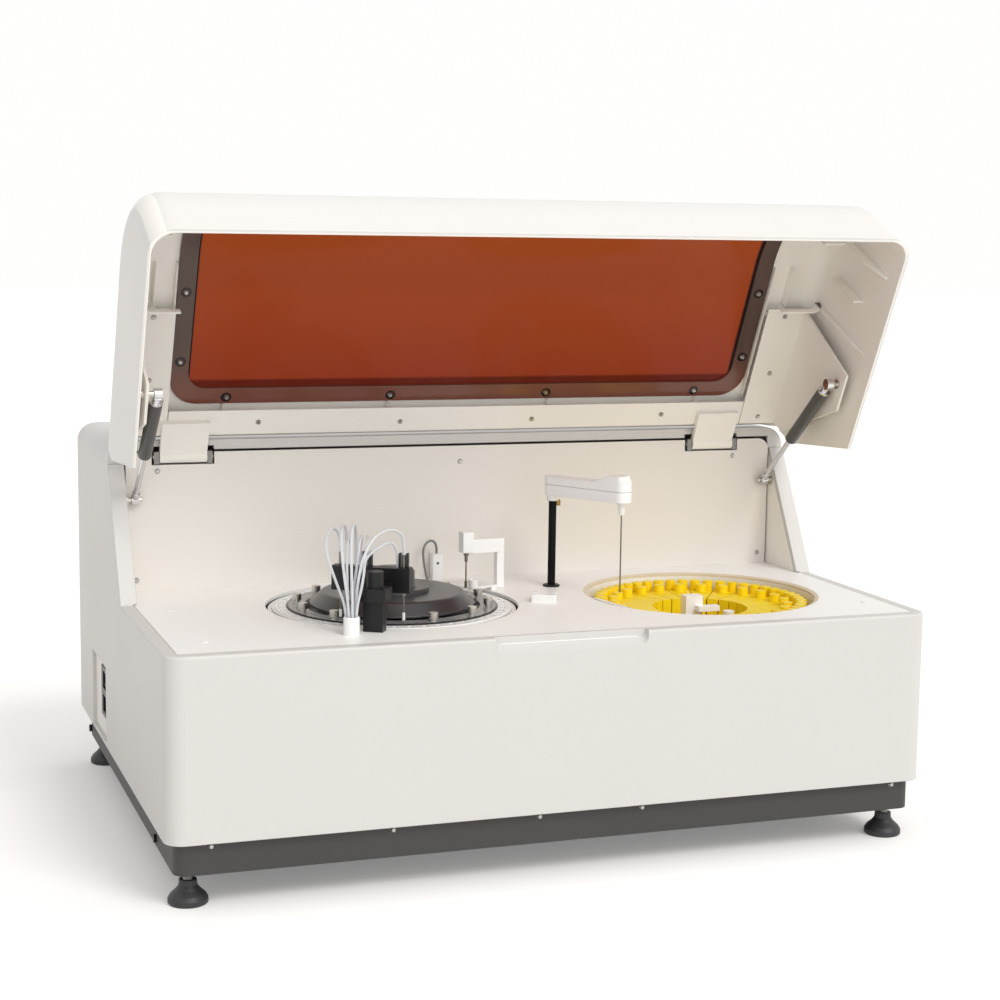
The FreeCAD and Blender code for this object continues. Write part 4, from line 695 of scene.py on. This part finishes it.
dress(steel_and_white("probe_steel_and_holder", 354, 380), "sample_probe")
dress(steel_and_white("nozzle_steel_and_tip", 200, 272.2), "wash_needles")
paddle_steel = finish("paddle_stainless", colour("#8F857B"), 0.3, grain=0.4, relief=0.006,
                      shift=0.2, Metallic=1.0)
dress(paddle_steel, "mixer_paddle")

# %% [markdown]
# The mains inlet and its rocker are glass-filled plastic, nearly black. The drives and the
# power supply stay inside the casing, in plain dark paint.

# %% Inlet and inner units
inlet_black = finish("glass_filled_black", colour("#17171A"), 0.38, grain=0.8, relief=0.03,
                     shift=0.1, edge=0.4, IOR=1.53)
dress(inlet_black, "power_inlet", "rocker_switch")
inner_paint = finish("dark_machine_paint", colour("#3A3B3D"), 0.5, grain=1.0, relief=0.03,
                     shift=0.1)
dress(inner_paint, "drive_motors", "power_supply")

# %% [markdown]
# The tubes are extruded PTFE, milky and slick. They let light through without showing
# what lies behind, so transmission is mixed with a soft roughness.

# %% Tubes and cable
milky_tube = finish("milky_ptfe", colour("#EEF0F4"), 0.3, grain=2.0, relief=0.004, shift=0.03,
                    IOR=1.35, Transmission_Weight=0.35)
dress(milky_tube, *[tube.name for tube in wash_tubes], "wash_tubes")
cable_grey = finish("soft_grey_pvc", colour("#7C7C7E"), 0.4, grain=1.0, relief=0.01, shift=0.06,
                    IOR=1.53)
dress(cable_grey, sensor_cable.name, "sensor_cable")

# %% [markdown]
# The lid is a thin moulding, so ribs stiffen it inside. On each side one rib runs from the
# window's frame across the top, round the corner and down the side wall, where it tapers
# out. A second one stands nearer the front. Each starts as a slim block on the side wall of
# the closed lid. Its lower end is extruded and narrowed, its upper end is spun round the
# corner and then extruded towards the frame. At last it swings open with the lid.

# %% Helpers for pieces on the lid
def chosen_faces(piece, wanted):
    """Selects the faces whose middle passes a test, in edit mode."""
    bpy.ops.mesh.select_all(action="DESELECT")
    shape = bmesh.from_edit_mesh(piece.data)
    for face in shape.faces:
        face.select_set(wanted(face.calc_center_median(), face.normal))
    shape.select_flush_mode()
    bmesh.update_edit_mesh(piece.data)


def block(name, low, high):
    """A cube between two corners, each x, distance behind the front, and z in mm."""
    bpy.ops.object.select_all(action="DESELECT")
    start, end = spot(*low), spot(*high)
    bpy.ops.mesh.primitive_cube_add(size=1, location=(start + end) / 2, scale=end - start)
    piece = bpy.context.active_object
    piece.name = name
    bpy.ops.object.transform_apply(location=True, rotation=True, scale=True)
    return piece


def settle(piece, body, material, bevel, swing=False):
    """Closes a piece: merged, facing outwards, softly bevelled, in place and on its body."""
    bpy.ops.object.mode_set(mode="EDIT")
    bpy.ops.mesh.select_all(action="SELECT")
    bpy.ops.mesh.remove_doubles(threshold=0.00001)
    bpy.ops.mesh.normals_make_consistent(inside=False)
    bpy.ops.object.mode_set(mode="OBJECT")
    edges = piece.modifiers.new("soft_edges", "BEVEL")
    edges.width = bevel * MM
    edges.segments = 2
    edges.limit_method = "ANGLE"
    bpy.ops.object.modifier_apply(modifier=edges.name)
    if swing:
        piece.matrix_world = LID_OPEN @ piece.matrix_world
    bpy.ops.object.transform_apply(location=True, rotation=True, scale=True)
    bpy.ops.object.shade_smooth_by_angle(angle=math.radians(35))
    piece.data.materials.clear()
    piece.data.materials.append(material)
    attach(piece, body)
    return piece


def mirrored(piece, name, body):
    """A copy on the other side of the machine, with its own mesh."""
    bpy.ops.object.select_all(action="DESELECT")
    piece.select_set(True)
    bpy.context.view_layer.objects.active = piece
    bpy.ops.object.duplicate(linked=False)
    twin = bpy.context.active_object
    twin.name = name
    bpy.ops.object.mode_set(mode="EDIT")
    bpy.ops.mesh.select_all(action="SELECT")
    bpy.ops.transform.resize(value=(-1, 1, 1), center_override=(0, 0, 0))
    bpy.ops.mesh.normals_make_consistent(inside=False)
    bpy.ops.object.mode_set(mode="OBJECT")
    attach(twin, body)
    return twin


# %% Ribs round the lid's corners
SIDE_WALL = 421.3
CORNER = 24
RIB_FLOOR = 285
RIB_TAPER = 40
TAPERED_WIDTH = 0.22


def corner_rib(name, behind_front, thickness, width, corner_level, run_to):
    """A rib that tapers out on the side wall and turns over onto the top."""
    foot = RIB_FLOOR + RIB_TAPER
    front, rear = behind_front - thickness / 2, behind_front + thickness / 2
    rib = block(name, (SIDE_WALL - width, front, foot), (SIDE_WALL, rear, corner_level))
    bpy.ops.object.mode_set(mode="EDIT")
    chosen_faces(rib, lambda middle, normal: normal.z < -0.9)
    bpy.ops.mesh.extrude_region_move(TRANSFORM_OT_translate={"value": (0, 0, -RIB_TAPER * MM)})
    bpy.ops.transform.resize(value=(TAPERED_WIDTH, 1, 1),
                             center_override=spot(SIDE_WALL, behind_front, RIB_FLOOR))
    chosen_faces(rib, lambda middle, normal: normal.z > 0.9)
    centre = spot(SIDE_WALL - CORNER, behind_front, corner_level)
    bpy.ops.mesh.spin(steps=7, angle=math.radians(90), center=centre, axis=(0, -1, 0))
    bpy.ops.mesh.extrude_region_move(TRANSFORM_OT_translate={
        "value": ((run_to - SIDE_WALL + CORNER) * MM, 0, 0)})
    bpy.ops.object.mode_set(mode="OBJECT")
    return settle(rib, "lid", lid_abs_painted_lighter, 0.5, swing=True)


rib_rear = corner_rib("lid_rib_rear_right", 162, 2.4, 7.5, 410, 361)
rib_front = corner_rib("lid_rib_front_right", 61.3, 3.2, 12.6, 391.5, 380)
mirrored(rib_rear, "lid_rib_rear_left", "lid")
mirrored(rib_front, "lid_rib_front_left", "lid")
print("rib goes from", [round(1000 * value) for value in rib_rear.bound_box[0]], "mm")

# %% [markdown]
# Along the window's frame the moulding forms a channel. Its outer wall is a long low rib,
# short cross ribs tie it to the frame, and small stubs under the rear of the frame carry
# its screws. They are thin blocks whose free edge is narrowed, as a mould needs draft to
# let a rib go.

# %% Channel and stubs along the frame
DRAFT = 0.6


def draft_rib(name, low, high):
    """A thin rib that hangs from the lid's top, a little narrower at its free edge."""
    rib = block(name, low, high)
    bpy.ops.object.mode_set(mode="EDIT")
    chosen_faces(rib, lambda middle, normal: normal.z < -0.9)
    middle = (spot(*low) + spot(*high)) / 2
    thin = (DRAFT, 1, 1) if high[0] - low[0] < high[1] - low[1] else (1, DRAFT, 1)
    bpy.ops.transform.resize(value=thin, center_override=middle)
    bpy.ops.object.mode_set(mode="OBJECT")
    return settle(rib, "lid", lid_abs_painted_lighter, 0.3, swing=True)


LID_CEILING = 434.3
channel = [
    ("frame_wall", (359.2, 125, 426.5), (361.4, 303, LID_CEILING)),
    ("channel_wall", (383, 125, 424), (385.2, 174, LID_CEILING)),
    ("cross_rib_a", (361, 187.2, 427), (371, 189.2, LID_CEILING)),
    ("cross_rib_b", (361, 273.6, 427), (371, 275.6, LID_CEILING)),
    ("stub_outer", (294.5, 305.5, 424), (297.5, 320, LID_CEILING)),
    ("stub_inner", (99, 305.5, 424), (102, 320, LID_CEILING)),
]
for name, low, high in channel:
    rib = draft_rib("lid_" + name + "_right", low, high)
    mirrored(rib, "lid_" + name + "_left", "lid")
print(len(channel), "ribs on each side")

# %% [markdown]
# Three white caps close holes in the deck, and a dark lens looks out of the sensor box.
# A cap is a disc whose top face is inset and lifted into a flat dome.

# %% Small fittings
DOME_START = 0.35  # shares of the radius and of the height
DOME_RISE = 0.3
RIM_BEVEL = 0.15


def disc_cap(name, place, radius, height, body, material):
    """A flat round cap with a domed top, standing on a point."""
    bpy.ops.object.select_all(action="DESELECT")
    foot = spot(*place)
    bpy.ops.mesh.primitive_cylinder_add(vertices=32, radius=radius * MM, depth=height * MM,
                                        location=foot + Vector((0, 0, height * MM / 2)))
    cap = bpy.context.active_object
    cap.name = name
    bpy.ops.object.transform_apply(location=True, rotation=True, scale=True)
    bpy.ops.object.mode_set(mode="EDIT")
    chosen_faces(cap, lambda middle, normal: normal.z > 0.9)
    bpy.ops.mesh.inset(thickness=radius * DOME_START * MM)
    bpy.ops.transform.translate(value=(0, 0, height * DOME_RISE * MM))
    bpy.ops.object.mode_set(mode="OBJECT")
    return settle(cap, body, material, height * RIM_BEVEL)

# %% Caps and lens
DECK_TOP = 260
CAP_RADIUS = 5
CAP_HEIGHT = 0.8
for number, (x, behind_front) in enumerate(((-379, 237), (-374, 65), (389, 80))):
    disc_cap("deck_cap_%d" % (number + 1), (x, behind_front, DECK_TOP), CAP_RADIUS,
             CAP_HEIGHT, "casing", white_gloss)
LENS_SHARE = 0.65  # how high the lens sits on its box
sensor_low, sensor_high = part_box("sensor_box")
lens = disc_cap("sensor_lens", (0, CASING_DEPTH / 2, 0), 1.5, 0.5, "casing", inlet_black)
lens.data.transform(Matrix.Rotation(math.radians(90), 4, "X"))
lens.data.transform(Matrix.Translation((
    (sensor_low[0] + sensor_high[0]) / 2, sensor_low[1],
    sensor_low[2] * (1 - LENS_SHARE) + sensor_high[2] * LENS_SHARE)))
print("sensor lens at", [round(1000 * value) for value in lens.bound_box[0]], "mm")

# %% [markdown]
# Beside its post, the sample arm holds a small brass clamp for the cable inside. It is a
# plain milled block that reaches a millimetre into the arm's floor.

# %% Cable clamp
CLAMP_DROP = 6
brass = finish("turned_brass", colour("#A88A4C"), 0.35, grain=0.5, relief=0.006, shift=0.1,
               Metallic=1.0)
arm_low, arm_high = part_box("sample_arm")
arm_floor = arm_low[2] / MM
clamp = block("arm_cable_clamp", (82.5, 268, arm_floor - CLAMP_DROP),
              (87.5, 275, arm_floor + 1))
settle(clamp, "sample_swinger", brass, 0.6)
print("the sample arm starts at", round(arm_floor), "mm and reaches x", round(arm_high[0] / MM))

# %% [markdown]
# The photograph was taken in a white room under large soft lamps. The world stands for
# the room: it is bright above and in front, darker behind and below, and fills the
# shadows. Camera rays, reflections and transmitted rays see plain white, so metal and
# glass mirror a white room, while the light that falls on the machine stays at a level
# where a colour renders as it is written.

# %% World
world = bpy.data.worlds.new("white_studio")
bpy.context.scene.world = world
world.use_nodes = True
tree = world.node_tree
tree.nodes.clear()
path = add_node(tree, "ShaderNodeLightPath", (-900, 200))
seen = add_node(tree, "ShaderNodeMath", (-650, 250), {"operation": "MAXIMUM"},
                links={0: path.outputs["Is Camera Ray"], 1: path.outputs["Is Glossy Ray"]})
seen_or_through = add_node(tree, "ShaderNodeMath", (-450, 250), {"operation": "MAXIMUM"},
                           links={0: seen.outputs["Value"],
                                  1: path.outputs["Is Transmission Ray"]})
way = add_node(tree, "ShaderNodeTexCoord", (-1100, -150)).outputs["Generated"]
towards_lamps = add_node(tree, "ShaderNodeVectorMath", (-900, -150),
                         {"operation": "DOT_PRODUCT"},
                         {1: Vector((0.28, -0.60, 0.75)).normalized()}, {0: way})
soft_wall = add_node(tree, "ShaderNodeMapRange", (-650, -150),
                     {"interpolation_type": "SMOOTHSTEP"},
                     {"From Min": -0.6, "From Max": 1.0, "To Min": 0.22, "To Max": 0.98},
                     {"Value": towards_lamps.outputs["Value"]})
level = add_node(tree, "ShaderNodeMix", (-250, 100), {"data_type": "FLOAT"}, {3: 1.0}, {
    "Factor": seen_or_through.outputs["Value"], 2: soft_wall.outputs["Result"]})
white_air = add_node(tree, "ShaderNodeBackground", (0, 200),
                     values={"Color": (1, 0.995, 0.985, 1)},
                     links={"Strength": level.outputs[0]})
add_node(tree, "ShaderNodeOutputWorld", (250, 200),
         links={"Surface": white_air.outputs["Background"]})
print("the soft wall of light goes from", soft_wall.inputs["To Min"].default_value,
      "to", soft_wall.inputs["To Max"].default_value)

# %% [markdown]
# Two lamps add direction. A broad sun from the right and in front lights the top and the
# front face, and leaves the left side in a warm grey. A wide, weak one straight from the
# front reaches the lid's inside. Suns are used because their light does not fall off over
# a machine this wide.

# %% Lamps
def studio_sun(name, strength, softness, angles):
    """A distant soft lamp. Softness is the angle in degrees that it fills."""
    bpy.ops.object.select_all(action="DESELECT")
    bpy.ops.object.light_add(type="SUN", location=(0, 0, 3),
                             rotation=[math.radians(angle) for angle in angles])
    lamp = bpy.context.active_object
    lamp.name = name
    lamp.data.energy = strength
    lamp.data.angle = math.radians(softness)
    lamp.data.color = (1.0, 0.985, 0.96)
    return lamp


key = studio_sun("key_from_right", 1.15, 24, (46, 0, 22))
fill = studio_sun("fill_from_front", 0.3, 50, (84, 0, 0))
print("key lamp strength", key.data.energy)

# %% [markdown]
# The machine stands on white paper that runs out of the picture on all sides. A matt sheet
# keeps the shadow under the casing. Where the camera, a reflection or a ray through the
# window sees it, a little glow lifts it to the white of the room, so no edge shows.

# %% Floor
FLOOR_WIDTH = 40
PAPER_GLOW = 0.2
bpy.ops.object.select_all(action="DESELECT")
bpy.ops.mesh.primitive_plane_add(size=1, location=(0, 0, 0))
floor = bpy.context.active_object
floor.name = "paper_floor"
bpy.ops.object.mode_set(mode="EDIT")
bpy.ops.mesh.select_all(action="SELECT")
bpy.ops.transform.resize(value=(FLOOR_WIDTH, FLOOR_WIDTH, 1))
bpy.ops.object.mode_set(mode="OBJECT")
paper = bpy.data.materials.new("white_paper")
paper.use_nodes = True
tree = paper.node_tree
tree.nodes.clear()
path = add_node(tree, "ShaderNodeLightPath", (-700, 300))
matt = add_node(tree, "ShaderNodeBsdfDiffuse", (-300, 0), values={"Color": colour("#F4F2F0")})
seen = add_node(tree, "ShaderNodeMath", (-500, 300), {"operation": "MAXIMUM"},
                links={0: path.outputs["Is Camera Ray"], 1: path.outputs["Is Glossy Ray"]})
seen_or_through = add_node(tree, "ShaderNodeMath", (-350, 300), {"operation": "MAXIMUM"},
                           links={0: seen.outputs["Value"],
                                  1: path.outputs["Is Transmission Ray"]})
lift = add_node(tree, "ShaderNodeMath", (-200, 300), {"operation": "MULTIPLY"},
                {1: PAPER_GLOW}, {0: seen_or_through.outputs["Value"]})
glow = add_node(tree, "ShaderNodeEmission", (-50, 200), links={"Strength": lift.outputs["Value"]})
sum_of_both = add_node(tree, "ShaderNodeAddShader", (150, 100),
                       links={0: matt.outputs["BSDF"], 1: glow.outputs["Emission"]})
add_node(tree, "ShaderNodeOutputMaterial", (350, 100),
         links={"Surface": sum_of_both.outputs["Shader"]})
floor.data.materials.append(paper)
floor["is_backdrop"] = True
print("floor is", floor.dimensions.x, "m wide")

# %% Finish
bpy.context.scene.view_settings.view_transform = "Standard"
bpy.context.view_layer.update()
low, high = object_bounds()
print("visual box in mm:", [round(1000 * (b - a)) for a, b in zip(low, high)])
